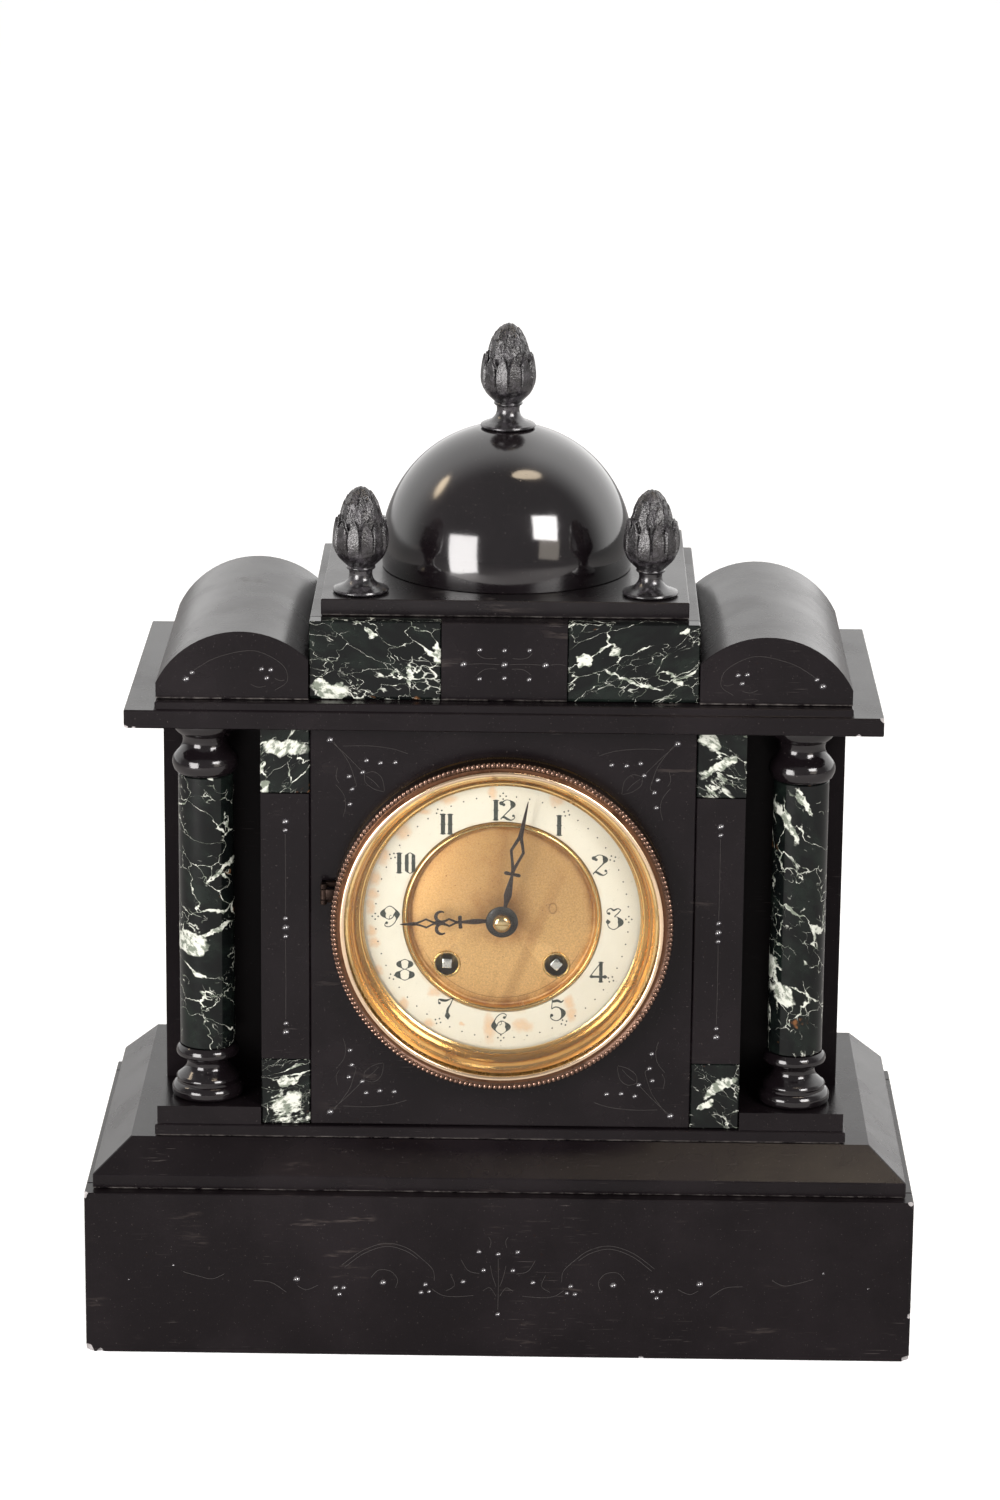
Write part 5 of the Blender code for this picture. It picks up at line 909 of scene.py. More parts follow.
for node in ("finial_left", "finial_right", "dome_finial"):
    foot = foot_of(node)
    luck = random.Random(len(node))
    parts = [turned(finial_core, steps=72, at=foot, finish=CAST_STEM)]
    for line, start, tall, count, width, depth, curl, first in petal_rows:
        spots = []
        for i in range(count):
            turn = 2 * math.pi * (i + first + luck.uniform(-0.04, 0.04)) / count
            spots.append((foot, (0.0, luck.uniform(-0.012, 0.012), turn)))
        parts.append(repeated(petal(line, start, tall, math.pi / count * width, depth, curl), spots, CAST))
    mounted(shown("pine_cone_" + node, joined(*parts)), "case", "slate", node)


# Front ring and bezel: cast and turned brass. The fixed ring holds the movement in the panel, and
# the bezel is hinged to its left side. The bezel's edge is a knurled rope, patinated to brown bronze,
# and the polished sight ring inside it has gone a deep gold.
dial = centre_of("chapter_ring")
DIAL = (dial.x, 0.0, dial.z)
BRASS = (0.62, 0.41, 0.16)
ROPE_BEADS = 212
ROPE_MIDDLE = 0.0706
ROPE_BEAD = 0.0021
ROPE_SLANT = math.radians(38)
DIAL_STEPS = 192


def metal(name, colour, dark, roughness, patina=0.5, scale=1.0, metallic=1.0):
    """Handled metal: darker patina in clouds, uneven polish and fine scratches."""
    finish, shader, place = new_finish(name)
    cloud = place.noise(70.0 * scale, 5.0, 0.65)
    stain = cloud.above(0.62 - patina * 0.25, 0.80 - patina * 0.25)
    hair = place.mapped(scale=(1.0, 0.1, 0.06), turn=(0.0, 0.6, 0.0)).noise(2400.0, 2.0).above(0.55, 0.75)
    plug(shader, {"Base Color": stain.blend(colour, dark)})
    plug(shader, {"Roughness": stain * 0.18 + hair * 0.04 + roughness, "Normal": hair.bump(0.02, 0.0001)})
    shader.inputs["Metallic"].default_value = metallic
    return finish


BRASS_OLD = metal("old_brass", BRASS, (0.30, 0.17, 0.06), 0.26, 0.45)
BRASS_BRIGHT = metal("bright_brass", (0.70, 0.48, 0.20), (0.45, 0.28, 0.10), 0.20, 0.25)
BRONZE = metal("bronze_rim", (0.085, 0.052, 0.038), (0.040, 0.025, 0.019), 0.38, 0.5, 2.0)
RIM_POLISH = metal("polished_rim", (0.90, 0.68, 0.47), (0.52, 0.34, 0.20), 0.18, 0.35, 1.5)
ROPE_METAL = metal("rope_metal", (0.21, 0.130, 0.098), (0.085, 0.050, 0.038), 0.24, 0.5, 3.0)
HINGE_METAL = metal("hinge_metal", (0.040, 0.027, 0.022), (0.020, 0.014, 0.012), 0.45, 0.5, 3.0)
GROOVE_METAL = metal("groove_metal", (0.12, 0.06, 0.035), (0.05, 0.025, 0.015), 0.5, 0.5)
SIGHT_GOLD = metal("sight_gold", (0.98, 0.70, 0.33), (0.66, 0.38, 0.13), 0.15, 0.30, 0.7)
# Painted reflection: a darker gold band across the middle of the sight ring's slope stands in for the dark
# that the polished ring mirrors there.
SIGHT_REFLECTION_BAND = metal("sight_gold_painted_reflection", (0.70, 0.40, 0.125), (0.42, 0.21, 0.055), 0.16, 0.35, 0.7)


def ringed(runs, finish, steps=DIAL_STEPS, at=DIAL):
    """A closed lathe shape about an axis that runs to the front."""
    return turned(runs, steps, at, forward=True, closed=True, finish=finish)


def banded(runs, finishes):
    """A closed lathe shape about the dial's axis, each run of its outline with its own finish."""
    mesh = ringed(runs, None)
    listed = list(dict.fromkeys(finishes))
    for finish in listed:
        mesh.materials.append(finish)
    bands = []
    for run, finish in zip(runs, finishes):
        bands += [listed.index(finish)] * ((len(run) - 1) * (ROUND_STEPS if len(run) > 2 else 1))
    for i, band in enumerate(bands):
        for face in mesh.polygons[i * DIAL_STEPS:(i + 1) * DIAL_STEPS]:
            face.material_index = band
    return mesh


def bar(low, high, finish, ease=0.0002):
    """A small bar with eased edges between two corners."""
    shape = bmesh.new()
    bmesh.ops.create_cube(shape, size=1.0)
    for vertex in shape.verts:
        vertex.co = [a + (b - a) * (c + 0.5) for a, b, c in zip(low, high, vertex.co)]
    bmesh.ops.bevel(shape, geom=shape.edges[:], offset=ease, segments=2, profile=0.5, affect="EDGES")
    return finished(shape, finish)


HINGE_X = -0.0746
HINGE_Y = -0.0652
HINGE_Z = dial.z + 0.0125
HINGE_AXIS = (HINGE_X, HINGE_Y, HINGE_Z)
KNUCKLE = 0.0014
KNUCKLE_BORE = 0.00075
HINGE_PIN = 0.0007


def knuckle(at, low, high, radius, finish, bore=0.0, ease=0.00025, steps=32):
    """A hinge knuckle or pin between two heights on its upright axis."""
    ease = min(ease, (radius - bore) / 3)
    outline = profile(
        (bore, low), (radius - ease, low), (radius, low + ease), (radius, high - ease), (radius - ease, high),
        (bore, high),
    )
    return turned(outline, steps, at, closed=bore > 0.0, finish=finish)


ring_outline = profile(
    (0.0714, 0.0599), (0.0714, 0.0626), (0.0710, 0.0630), (0.0664, 0.0630), (0.0664, 0.0462),
    (0.0480, 0.0462), (0.0480, 0.0438), (0.0684, 0.0438), (0.0684, 0.0599), (0.0714, 0.0599),
)
parts = [ringed(ring_outline, BRASS_OLD), knuckle(HINGE_AXIS, -0.0043, 0.0043, HINGE_PIN, HINGE_METAL)]
for low, high in ((-0.0045, -0.0024), (0.0024, 0.0045)):
    foot, head = HINGE_Z + low, HINGE_Z + high
    parts += [
        knuckle(HINGE_AXIS, low, high, KNUCKLE, HINGE_METAL),
        bar((HINGE_X - 0.0010, -0.0630, foot), (-0.0694, -0.0599, head), HINGE_METAL),
        bar((HINGE_X - 0.0010, HINGE_Y, foot), (HINGE_X + 0.0010, -0.0600, head), HINGE_METAL),
    ]
mounted(shown("fixed_ring", joined(*parts)), "case", "brass", "front_ring")

bezel_outline = profile(
    (0.0716, 0.0633), (0.0716, 0.0688),
    [(0.0712, 0.0696), (0.0704, 0.0697), (0.0696, 0.0694), (0.0690, 0.0690)], (0.0681, 0.0690),
    [(0.0679, 0.0694), (0.0676, 0.0700), (0.0670, 0.0703), (0.0663, 0.0702), (0.0659, 0.0699)],
    (0.0659, 0.0693), (0.0668, 0.0693), (0.0668, 0.0668), (0.0652, 0.0668),
    [(0.0646, 0.0657), (0.0640, 0.0648), (0.0633, 0.0640)],
    [(0.0627, 0.0618), (0.0615, 0.0603), (0.0600, 0.0593)],
    [(0.0596, 0.0587), (0.0590, 0.0581), (0.0582, 0.0576)],
    (0.0582, 0.0569), (0.0594, 0.0569), (0.0658, 0.0604), (0.0658, 0.0633), (0.0716, 0.0633),
)
# The middle band of the sight ring is a painted reflection.
bezel_finishes = [
    *[BRONZE] * 2, GROOVE_METAL, *[RIM_POLISH] * 2, *[BRASS_OLD] * 3,
    SIGHT_GOLD, SIGHT_REFLECTION_BAND, *[SIGHT_GOLD] * 3, *[BRASS_OLD] * 3,
]
shape = bmesh.new()
bead = bmesh.ops.create_uvsphere(shape, u_segments=8, v_segments=6, radius=ROPE_BEAD / 2)["verts"]
bmesh.ops.scale(shape, verts=bead, vec=(1.22, 0.74, 0.88))
spots = []
for i in range(ROPE_BEADS):
    turn = 2 * math.pi * i / ROPE_BEADS
    place = Vector((ROPE_MIDDLE * math.cos(turn), -0.0695, ROPE_MIDDLE * math.sin(turn))) + Vector(DIAL)
    spots.append((place, Matrix.Rotation(ROPE_SLANT - turn, 3, "Y").to_euler()))
parts = [
    banded(bezel_outline, bezel_finishes),
    repeated(finished(shape), spots, ROPE_METAL),
    knuckle(HINGE_AXIS, -0.0022, 0.0022, KNUCKLE, HINGE_METAL, KNUCKLE_BORE),
    bar((HINGE_X + 0.0009, HINGE_Y - 0.0010, HINGE_Z - 0.0022),
        (-0.0700, HINGE_Y + 0.0004, HINGE_Z + 0.0022), HINGE_METAL),
]
mounted(shown("rope_bezel", joined(*parts)), "bezel", "bezel_bronze", "bezel")


# Bezel glass: a round pane of thin old glass with a ground edge, held in the bezel's rebate by its
# brass lip. It is clear, and shows itself only by its reflections.
pane_finish, shader, place = new_finish("pane_glass")
tree = pane_finish.node_tree
facing = place.node("Fresnel", {"IOR": 1.45})
clear = place.node("BsdfTransparent", {"Color": (0.97, 0.98, 0.97)})
shine = place.node("BsdfGlossy", {"Color": (1.0, 1.0, 1.0), "Roughness": 0.02})
mixed = place.node("MixShader", {0: facing * 0.7, 1: clear, 2: shine})
tree.links.new(mixed.socket, tree.nodes["Material Output"].inputs["Surface"])
tree.nodes.remove(shader)
pane = profile((0.0, 0.0690), (0.0625, 0.0690), (0.0665, 0.06805), (0.0665, 0.0671), (0.0, 0.0671))
mesh = turned(pane, DIAL_STEPS, DIAL, forward=True)
mounted(shown("bezel_pane", mesh, pane_finish), "bezel", "glass", "bezel_glass")


# Chapter ring: crowned white enamel on copper, yellowed with age and stained where rust from behind
# has crept in at its edges. The numbers and minute dots are fired on in dark grey-green.
CROWN_MIDDLE = 0.0514
CROWN_HALF = 0.0094
ENAMEL_TOP = 0.0559
CROWN_DROP = 0.0004
ENAMEL_INNER = 0.0420
ENAMEL_OUTER = 0.0608
ENAMEL_BACK = 0.0537
CROWN_START = 0.0422
CROWN_WIDTH = 0.0184
CROWN_STEPS = 10
RUST_STAIN = (0.72, 0.36, 0.12)
STAINS = (  # across and up from the dial's centre and half sizes, in millimetres
    (-23.2, 51.8, 3.2, 1.9), (-4.4, 55.1, 1.5, 2.6), (22.6, 52.3, 2.4, 2.4), (-42.5, 37.9, 3.4, 2.8),
    (-50.3, 26.8, 2.4, 3.2), (-53.9, 16.8, 2.2, 2.6), (-54.4, 10.1, 2.0, 2.0), (-55.5, 4.6, 1.5, 3.0),
    (-55.0, -6.6, 1.8, 2.0), (-54.0, -11.4, 2.0, 2.0), (-28.4, -33.2, 2.4, 1.6), (-5.0, -48.8, 1.8, 5.0),
    (9.1, -47.7, 3.4, 2.2), (28.9, -37.1, 1.8, 2.4), (29.6, -42.1, 1.6, 2.8), (-41.4, -38.8, 1.4, 2.4),
    (-16.4, -47.1, 0.9, 0.7), (-52.0, -24.0, 1.5, 1.8), (-33.0, 46.5, 2.2, 1.4), (-30.5, -47.0, 2.0, 1.4),
)


def about_dial(place):
    """How far a place is across and up from the dial's centre, and its distance."""
    x, _, z = place.axes()
    across, up = x - DIAL[0], z - DIAL[2]
    return across, up, (across * across + up * up) ** 0.5


enamel, shader, place = new_finish("enamel")
across, up, _ = about_dial(warped(place, 330.0, 0.0034).mapped(shift=(-0.0017, -0.0017, -0.0017)))
stained = None
for stain_x, stain_z, half, rise in STAINS:
    wide = (across - stain_x / 1000) / (half / 1000)
    tall = (up - stain_z / 1000) / (rise / 1000)
    spot = (wide * wide + tall * tall).above(2.9, -0.5)
    stained = spot if stained is None else stained.at_least(spot)
across, up, radius = about_dial(place)
edge = radius.above(0.0535, 0.0590) * place.noise(90.0, 3.0).above(0.35, 0.65) * across.above(0.02, -0.03)
inner_edge = radius.above(0.0438, 0.0420) * place.noise(140.0, 3.0).above(0.40, 0.62)
stained = stained * (place.noise(520.0, 4.0, 0.7) * 0.9 + 0.25)
cream = place.noise(60.0, 3.0).blend((0.80, 0.755, 0.66), (0.72, 0.665, 0.555))
tinted = (edge * 0.28 + inner_edge * 0.30).blend(cream, (0.66, 0.45, 0.25))
dirt = place.noise(1100.0, 2.0).above(0.715, 0.76) * 0.5
rusty = (stained.at_most(1.0) * 0.8).blend(tinted, RUST_STAIN)
plug(shader, {"Base Color": dirt.blend(rusty, (0.16, 0.13, 0.10)), "Roughness": stained * 0.25 + 0.12})
shader.inputs["Coat Weight"].default_value = 0.4
shader.inputs["Coat Roughness"].default_value = 0.05


def enamel_depth(radius):
    """The depth of the enamel's face at a distance from the dial's centre."""
    return ENAMEL_TOP - CROWN_DROP * ((radius - CROWN_MIDDLE) / CROWN_HALF) ** 2


radii = [CROWN_START + CROWN_WIDTH * i / CROWN_STEPS for i in range(CROWN_STEPS + 1)]
crown = [(radius, enamel_depth(radius)) for radius in radii]
ring = profile(
    (ENAMEL_INNER, ENAMEL_BACK), (ENAMEL_INNER, 0.0553), *crown, (ENAMEL_OUTER, 0.0552),
    (ENAMEL_OUTER, ENAMEL_BACK), (ENAMEL_INNER, ENAMEL_BACK),
)
mounted(shown("enamel_ring", ringed(ring, enamel)), "case", "enamel", "chapter_ring")


# Painted numbers: each is drawn in strokes of a changing width, upright all round the dial, in an
# old ornamental style with pointed spurs, balls and diamond swellings, and fired into the enamel.
NUMBER_HEIGHT = 0.0093
NUMBER_RING = 0.0471
MINUTE_RING = 0.0533
PAINT_RISE = 0.00002
MINUTE_DOT = 0.00033
FIVE_DOT = 0.00038
FIVE_SPREAD = 0.00125
paint, shader, place = new_finish("fired_paint")
worn = place.noise(900.0, 3.0).above(0.60, 0.74)
plug(shader, {"Base Color": worn.blend((0.030, 0.036, 0.030), (0.16, 0.16, 0.13)), "Roughness": 0.35})


def fat(x, width=0.17, spurs=0.25):
    """A fat upright with pointed spurs at its ends and halfway up."""
    upper = [(0.5, width * 0.45), (0.465, width + 0.10), (0.425, width), (0.03, width)]
    rows = [*upper, (0.0, spurs), *((-y, w) for y, w in reversed(upper))]
    return "straight", [(x, y, w) for y, w in rows]


HAIR = 0.038
STROKE_FAT = 1.12
STROKE_LEAST = 0.024
NUMBER_STROKES = {
    "1": [fat(0.0)],
    "2": [
        ("curved", [(-0.24, 0.24, 0.02), (-0.27, 0.33, 0.19), (-0.20, 0.41, 0.06), (-0.06, 0.49, HAIR),
                    (0.12, 0.46, 0.05), (0.24, 0.28, 0.23), (0.16, 0.10, 0.07), (-0.02, -0.10, 0.05),
                    (-0.20, -0.30, 0.04), (-0.30, -0.44, 0.03)]),
        ("curved", [(-0.31, -0.40, 0.02), (-0.17, -0.32, 0.09), (0.02, -0.42, 0.10), (0.18, -0.46, 0.05),
                    (0.32, -0.36, HAIR), (0.30, -0.24, HAIR)]),
        ("ball", (-0.17, 0.27, 0.065)), ("ball", (0.27, -0.25, 0.055)),
    ],
    "3": [
        ("curved", [(-0.30, 0.24, HAIR), (-0.32, 0.40, HAIR), (-0.16, 0.50, 0.05), (-0.02, 0.42, 0.08),
                    (0.16, 0.50, 0.05), (0.30, 0.44, HAIR)]),
        ("curved", [(0.30, 0.44, HAIR), (0.18, 0.28, 0.05), (0.02, 0.12, HAIR), (0.16, 0.09, 0.04),
                    (0.30, -0.14, 0.25), (0.20, -0.36, 0.06), (0.0, -0.49, HAIR), (-0.22, -0.40, 0.04),
                    (-0.30, -0.22, 0.03)]),
        ("straight", [(-0.30, -0.02, 0.01), (-0.26, -0.14, 0.21), (-0.28, -0.27, 0.01)]),
        ("ball", (-0.23, 0.26, 0.06)),
    ],
    "4": [
        fat(0.12, width=0.14, spurs=0.14),
        ("straight", [(0.10, 0.44, HAIR), (-0.36, -0.20, HAIR)]),
        ("straight", [(-0.40, -0.22, 0.02), (-0.32, -0.22, 0.13), (-0.20, -0.22, 0.09), (0.22, -0.22, 0.09),
                      (0.32, -0.22, 0.17), (0.42, -0.22, 0.02)]),
    ],
    "5": [
        ("curved", [(-0.22, 0.50, 0.03), (-0.16, 0.42, 0.10), (0.02, 0.46, 0.11), (0.20, 0.40, 0.07),
                    (0.30, 0.50, 0.03)]),
        ("straight", [(-0.21, 0.46, HAIR), (-0.24, 0.06, HAIR)]),
        ("curved", [(-0.24, 0.06, HAIR), (-0.06, 0.16, 0.05), (0.16, 0.09, 0.07), (0.30, -0.12, 0.20),
                    (0.20, -0.37, 0.06), (0.0, -0.49, HAIR), (-0.22, -0.42, 0.04), (-0.30, -0.28, 0.03)]),
        ("ball", (-0.23, -0.24, 0.065)),
    ],
    "6": [
        ("curved", [(0.20, 0.30, 0.03), (0.23, 0.43, HAIR), (0.06, 0.49, HAIR), (-0.16, 0.36, 0.04),
                    (-0.30, 0.12, 0.06), (-0.31, -0.10, 0.25), (-0.26, -0.30, 0.06), (0.0, -0.49, HAIR),
                    (0.24, -0.34, 0.05), (0.31, -0.14, 0.25), (0.20, 0.06, 0.05), (0.02, 0.13, HAIR),
                    (-0.14, 0.02, HAIR), (-0.16, -0.10, HAIR)]),
        ("ball", (0.15, 0.30, 0.06)),
        ("curved", [(0.0, 0.13, HAIR), (0.03, 0.0, 0.02), (-0.06, -0.06, HAIR)]),
    ],
    "7": [
        ("curved", [(-0.32, 0.30, 0.03), (-0.30, 0.46, 0.04), (-0.16, 0.42, 0.11), (0.02, 0.40, 0.10),
                    (0.18, 0.46, 0.05), (0.34, 0.50, 0.03)]),
        ("curved", [(0.34, 0.50, HAIR), (0.24, 0.24, 0.05), (0.12, 0.02, 0.09), (0.08, -0.16, 0.11)]),
        ("straight", [(0.08, -0.16, 0.10), (0.10, -0.33, 0.24), (0.12, -0.50, 0.02)]),
        ("ball", (-0.27, 0.28, 0.055)),
    ],
    "8": [
        ("loop", [(0.0, 0.49, HAIR), (0.17, 0.42, 0.05), (0.26, 0.27, 0.23), (0.14, 0.10, 0.05),
                  (0.0, 0.03, HAIR), (-0.14, 0.10, 0.05), (-0.26, 0.27, 0.23), (-0.17, 0.42, 0.05)]),
        ("loop", [(0.0, 0.03, HAIR), (0.20, -0.07, 0.05), (0.31, -0.23, 0.26), (0.18, -0.41, 0.05),
                  (0.0, -0.49, HAIR), (-0.18, -0.41, 0.05), (-0.31, -0.23, 0.26), (-0.20, -0.07, 0.05)]),
    ],
    "0": [
        ("straight", [(side * x, y, w) for x, y, w in (
            (0.0, 0.50, 0.02), (0.10, 0.43, 0.06), (0.15, 0.36, 0.15), (0.15, 0.03, 0.15), (0.15, 0.0, 0.20),
            (0.15, -0.03, 0.15), (0.15, -0.36, 0.15), (0.10, -0.43, 0.06), (0.0, -0.50, 0.02),
        )]) for side in (-1, 1)
    ],
}
NUMBER_STROKES["9"] = [
    (kind, (-value[0], -value[1], value[2]) if kind == "ball" else [(-a, -b, w) for a, b, w in value])
    for kind, value in NUMBER_STROKES["6"]
]
NUMBER_SHIFTS = {"12": (-0.32, 0.20), "10": (-0.27, 0.22), "11": (-0.16, 0.16)}


def painted(shape, outline, rise):
    """A thin raised patch of paint: points across and up from the dial's centre, on the enamel's face."""
    front, back = [], []
    for across, up in outline:
        depth = enamel_depth(math.hypot(across, up))
        front.append(shape.verts.new((DIAL[0] + across, -depth - rise, DIAL[2] + up)))
        back.append(shape.verts.new((DIAL[0] + across, -depth + PAINT_RISE, DIAL[2] + up)))
    return front, back


def ribbon(shape, path, closed, rise):
    """A stroke of paint along a path of places and widths."""
    lefts, rights = [], []
    count = len(path)
    for i, (x, z, width) in enumerate(path):
        before = path[(i - 1) % count if closed else max(i - 1, 0)]
        after = path[(i + 1) % count if closed else min(i + 1, count - 1)]
        dx, dz = after[0] - before[0], after[1] - before[1]
        size = math.hypot(dx, dz) or 1.0
        lefts.append((x - dz / size * width / 2, z + dx / size * width / 2))
        rights.append((x + dz / size * width / 2, z - dx / size * width / 2))
    left, left_back = painted(shape, lefts, rise)
    right, right_back = painted(shape, rights, rise)
    for i in range(count if closed else count - 1):
        j = (i + 1) % count
        shape.faces.new((left[i], left[j], right[j], right[i]))
        shape.faces.new((left_back[i], right_back[i], right_back[j], left_back[j]))
        shape.faces.new((left[i], left_back[i], left_back[j], left[j]))
        shape.faces.new((right[i], right[j], right_back[j], right_back[i]))
    if not closed:
        shape.faces.new((left[0], right[0], right_back[0], left_back[0]))
        shape.faces.new((left[-1], left_back[-1], right_back[-1], right[-1]))


def dab(shape, x, z, radius, rise, corners=12):
    """A round or square dab of paint."""
    turns = [2 * math.pi * i / corners for i in range(corners)]
    rim = [(x + radius * math.cos(turn), z + radius * math.sin(turn)) for turn in turns]
    front, back = painted(shape, rim, rise)
    shape.faces.new(front)
    shape.faces.new(list(reversed(back)))
    for i in range(corners):
        j = (i + 1) % corners
        shape.faces.new((front[j], front[i], back[i], back[j]))


shape = bmesh.new()
for hour in range(1, 13):
    turn = math.radians(hour * 30)
    word = str(hour)
    middle_x, middle_z = NUMBER_RING * math.sin(turn), NUMBER_RING * math.cos(turn)
    for digit, shift in zip(word, NUMBER_SHIFTS.get(word, (0.0,))):
        for layer, (kind, value) in enumerate(NUMBER_STROKES[digit]):
            rise = PAINT_RISE * (1.0 + 0.15 * layer)
            points = [value] if kind == "ball" else value
            if kind == "curved":
                points = through(value, 7)
            elif kind == "loop":
                points = through([*value[-1:], *value, *value[:2]], 7)[7:-8]
            sized = [
                (middle_x + (x + shift) * NUMBER_HEIGHT, middle_z + y * NUMBER_HEIGHT,
                 max(w * STROKE_FAT, STROKE_LEAST) * NUMBER_HEIGHT) for x, y, w in points
            ]
            if kind == "ball":
                dab(shape, *sized[0], rise)
            else:
                ribbon(shape, sized, kind == "loop", rise)
for minute in range(60):
    turn = math.radians(minute * 6)
    out, aside = math.sin(turn), math.cos(turn)
    if minute % 5:
        dab(shape, MINUTE_RING * out, MINUTE_RING * aside, MINUTE_DOT, PAINT_RISE)
        continue
    for outward, sideways in ((1, 0), (-1, 0), (0, 1), (0, -1)):
        ring, shift = MINUTE_RING + outward * FIVE_SPREAD, sideways * FIVE_SPREAD
        x, z = ring * out + shift * aside, ring * aside - shift * out
        dab(shape, x, z, FIVE_DOT, PAINT_RISE, corners=8)
bmesh.ops.recalc_face_normals(shape, faces=shape.faces)
mounted(shown("painted_numbers", finished(shape, paint)), "case", "enamel")


# Dial centre: a pan of grained and fire-gilt brass with a burnished rim round it, which holds the
# chapter ring down. Two brass grommets line its winding holes, and a fine line is scribed low on it.
# Four brass feet behind it reach the fixed ring.
WINDING_ACROSS = 0.0231
WINDING_DROP = 0.0215
WINDING_HOLE = 0.0052
DIAL_FEET = 4
FEET_RING = 0.0442
gilt, shader, place = new_finish("gilt_pan")
across, up, radius = about_dial(place)
grain = place.noise(1300.0, 4.0, 0.75)
cloud = place.noise(75.0, 4.0, 0.6)
hub = radius.above(0.020, 0.004) * cloud.above(0.30, 0.62)
# Painted shade: a band of brown just inside the raised rim, where the rim shades the pan, broken up by cloud.
rim = radius.above(0.0345, 0.0385) * cloud.above(0.30, 0.60)
slant = across - up * 0.10
streak = abs(slant + 0.004).above(0.005, 0.001) * up.above(0.004, 0.018)
streak = streak * place.noise(55.0, 2.0).above(0.3, 0.6)
streak = streak.at_least(abs(slant - 0.017 - up * 0.3).above(0.004, 0.001) * up.above(0.030, 0.0) * 0.6)
brown = (hub * 0.75 + rim * 0.65 + streak * 0.55 + cloud.above(0.54, 0.70) * 0.30).at_most(1.0)
# Painted light: the gilt is painted brighter towards the lower right and darker towards the top and the left.
painted_light = up.above(0.030, -0.036) * 0.75 + across.above(-0.030, 0.030) * 0.25
gold = painted_light.blend((0.50, 0.285, 0.108), (1.0, 0.64, 0.28))
tone = brown.blend(gold, (0.44, 0.205, 0.065))
scribe = abs(radius - 0.0362).above(0.00022, 0.00010) * up.above(-0.012, -0.022)
mark_x = (across - 0.0213) / 0.0016
mark_z = (up - 0.0036) / 0.0022
mark = abs((mark_x * mark_x + mark_z * mark_z) ** 0.5 - 1.0).above(0.22, 0.08) * 0.6
fleck = place.noise(1250.0, 1.0).above(0.745, 0.77)
dark = (scribe * 0.6).at_least(fleck).at_least(mark)
plug(shader, {"Base Color": (grain.above(0.30, 0.70) * 0.34 + dark * 0.70).blend(tone, (0.22, 0.10, 0.035))})
plug(shader, {"Roughness": grain * 0.16 + 0.42, "Normal": grain.bump(0.22, 0.0002)})
shader.inputs["Metallic"].default_value = 0.85


def drill(shape, place, radius, depth, steps):
    """A round cutter that lies from front to back."""
    bit = bmesh.ops.create_cone(
        shape, cap_ends=True, segments=steps, radius1=radius, radius2=radius, depth=depth,
    )
    bmesh.ops.rotate(shape, verts=bit["verts"], matrix=Matrix.Rotation(math.pi / 2, 3, "X"))
    bmesh.ops.translate(shape, verts=bit["verts"], vec=place)


pan = profile(
    (0.0034, 0.0524), (0.0034, 0.0532), (0.0380, 0.0532), [(0.0387, 0.0529), (0.0393, 0.0533)],
    [(0.0394, 0.0548), (0.0397, 0.0559), (0.0403, 0.0565), (0.0409, 0.0564), (0.0415, 0.0558),
     (0.0417, 0.0550)],
    (0.0417, 0.0534), (0.0608, 0.0534), (0.0608, 0.0524), (0.0034, 0.0524),
)
winding = [(DIAL[0] + side * WINDING_ACROSS, DIAL[2] - WINDING_DROP) for side in (-1, 1)]
shape = bmesh.new()
for x, z in winding:
    drill(shape, (x, -0.0529, z), WINDING_HOLE, 0.01, 48)
pan_finishes = [*[gilt] * 3, *[BRASS_BRIGHT] * 2, *[gilt] * 3]
parts = [cut(banded(pan, pan_finishes), finished(shape))]
grommet = profile(
    (0.0047, 0.0525), (0.0047, 0.0533),
    [(0.0049, 0.0537), (0.0053, 0.0538), (0.0057, 0.0537), (0.0059, 0.0533)],
    (0.0053, 0.0531), (0.0053, 0.0525), (0.0047, 0.0525),
)
parts += [ringed(grommet, BRASS_OLD, 48, (x, 0.0, z)) for x, z in winding]
dial_foot = profile((0.0, 0.0438), (0.0013, 0.0438), (0.0013, 0.0530), (0.0, 0.0530))
for turn in (math.radians(45 + 90 * i) for i in range(DIAL_FEET)):
    at = (DIAL[0] + FEET_RING * math.cos(turn), 0.0, DIAL[2] + FEET_RING * math.sin(turn))
    parts.append(turned(dial_foot, 16, at, forward=True, finish=BRASS_OLD))
mounted(shown("gilt_centre", joined(*parts)), "case", "gilt", "dial_centre")


# Hands: pierced and filed by hand from thin steel, blued long ago and now brown-black. The hour hand
# sits on its pipe and the minute hand on its square, under a steel collet and a domed brass nut.
blued = metal("brown_steel", (0.040, 0.026, 0.022), (0.014, 0.011, 0.011), 0.30, 0.5, 3.0, metallic=0.6)
collet_black = metal(
    "collet_steel", (0.020, 0.018, 0.017), (0.008, 0.008, 0.008), 0.34, 0.5, 3.0, metallic=0.4,
)
nut_brass = metal("nut_brass", (0.70, 0.52, 0.27), (0.38, 0.24, 0.10), 0.16, 0.35, 4.0)
HAND_EDGE = 0.00009
MINUTE_LENGTH = 0.054
MINUTE_TURN = 11.3
HOUR_LENGTH = 0.043
HOUR_TURN = 267.0
MINUTE_DEPTHS = (0.0615, 0.0621)
HOUR_DEPTHS = (0.0593, 0.0599)
MOON_DEPTHS = (0.05934, 0.05986)
AXIS = (0.0, 0.0, 0.0)


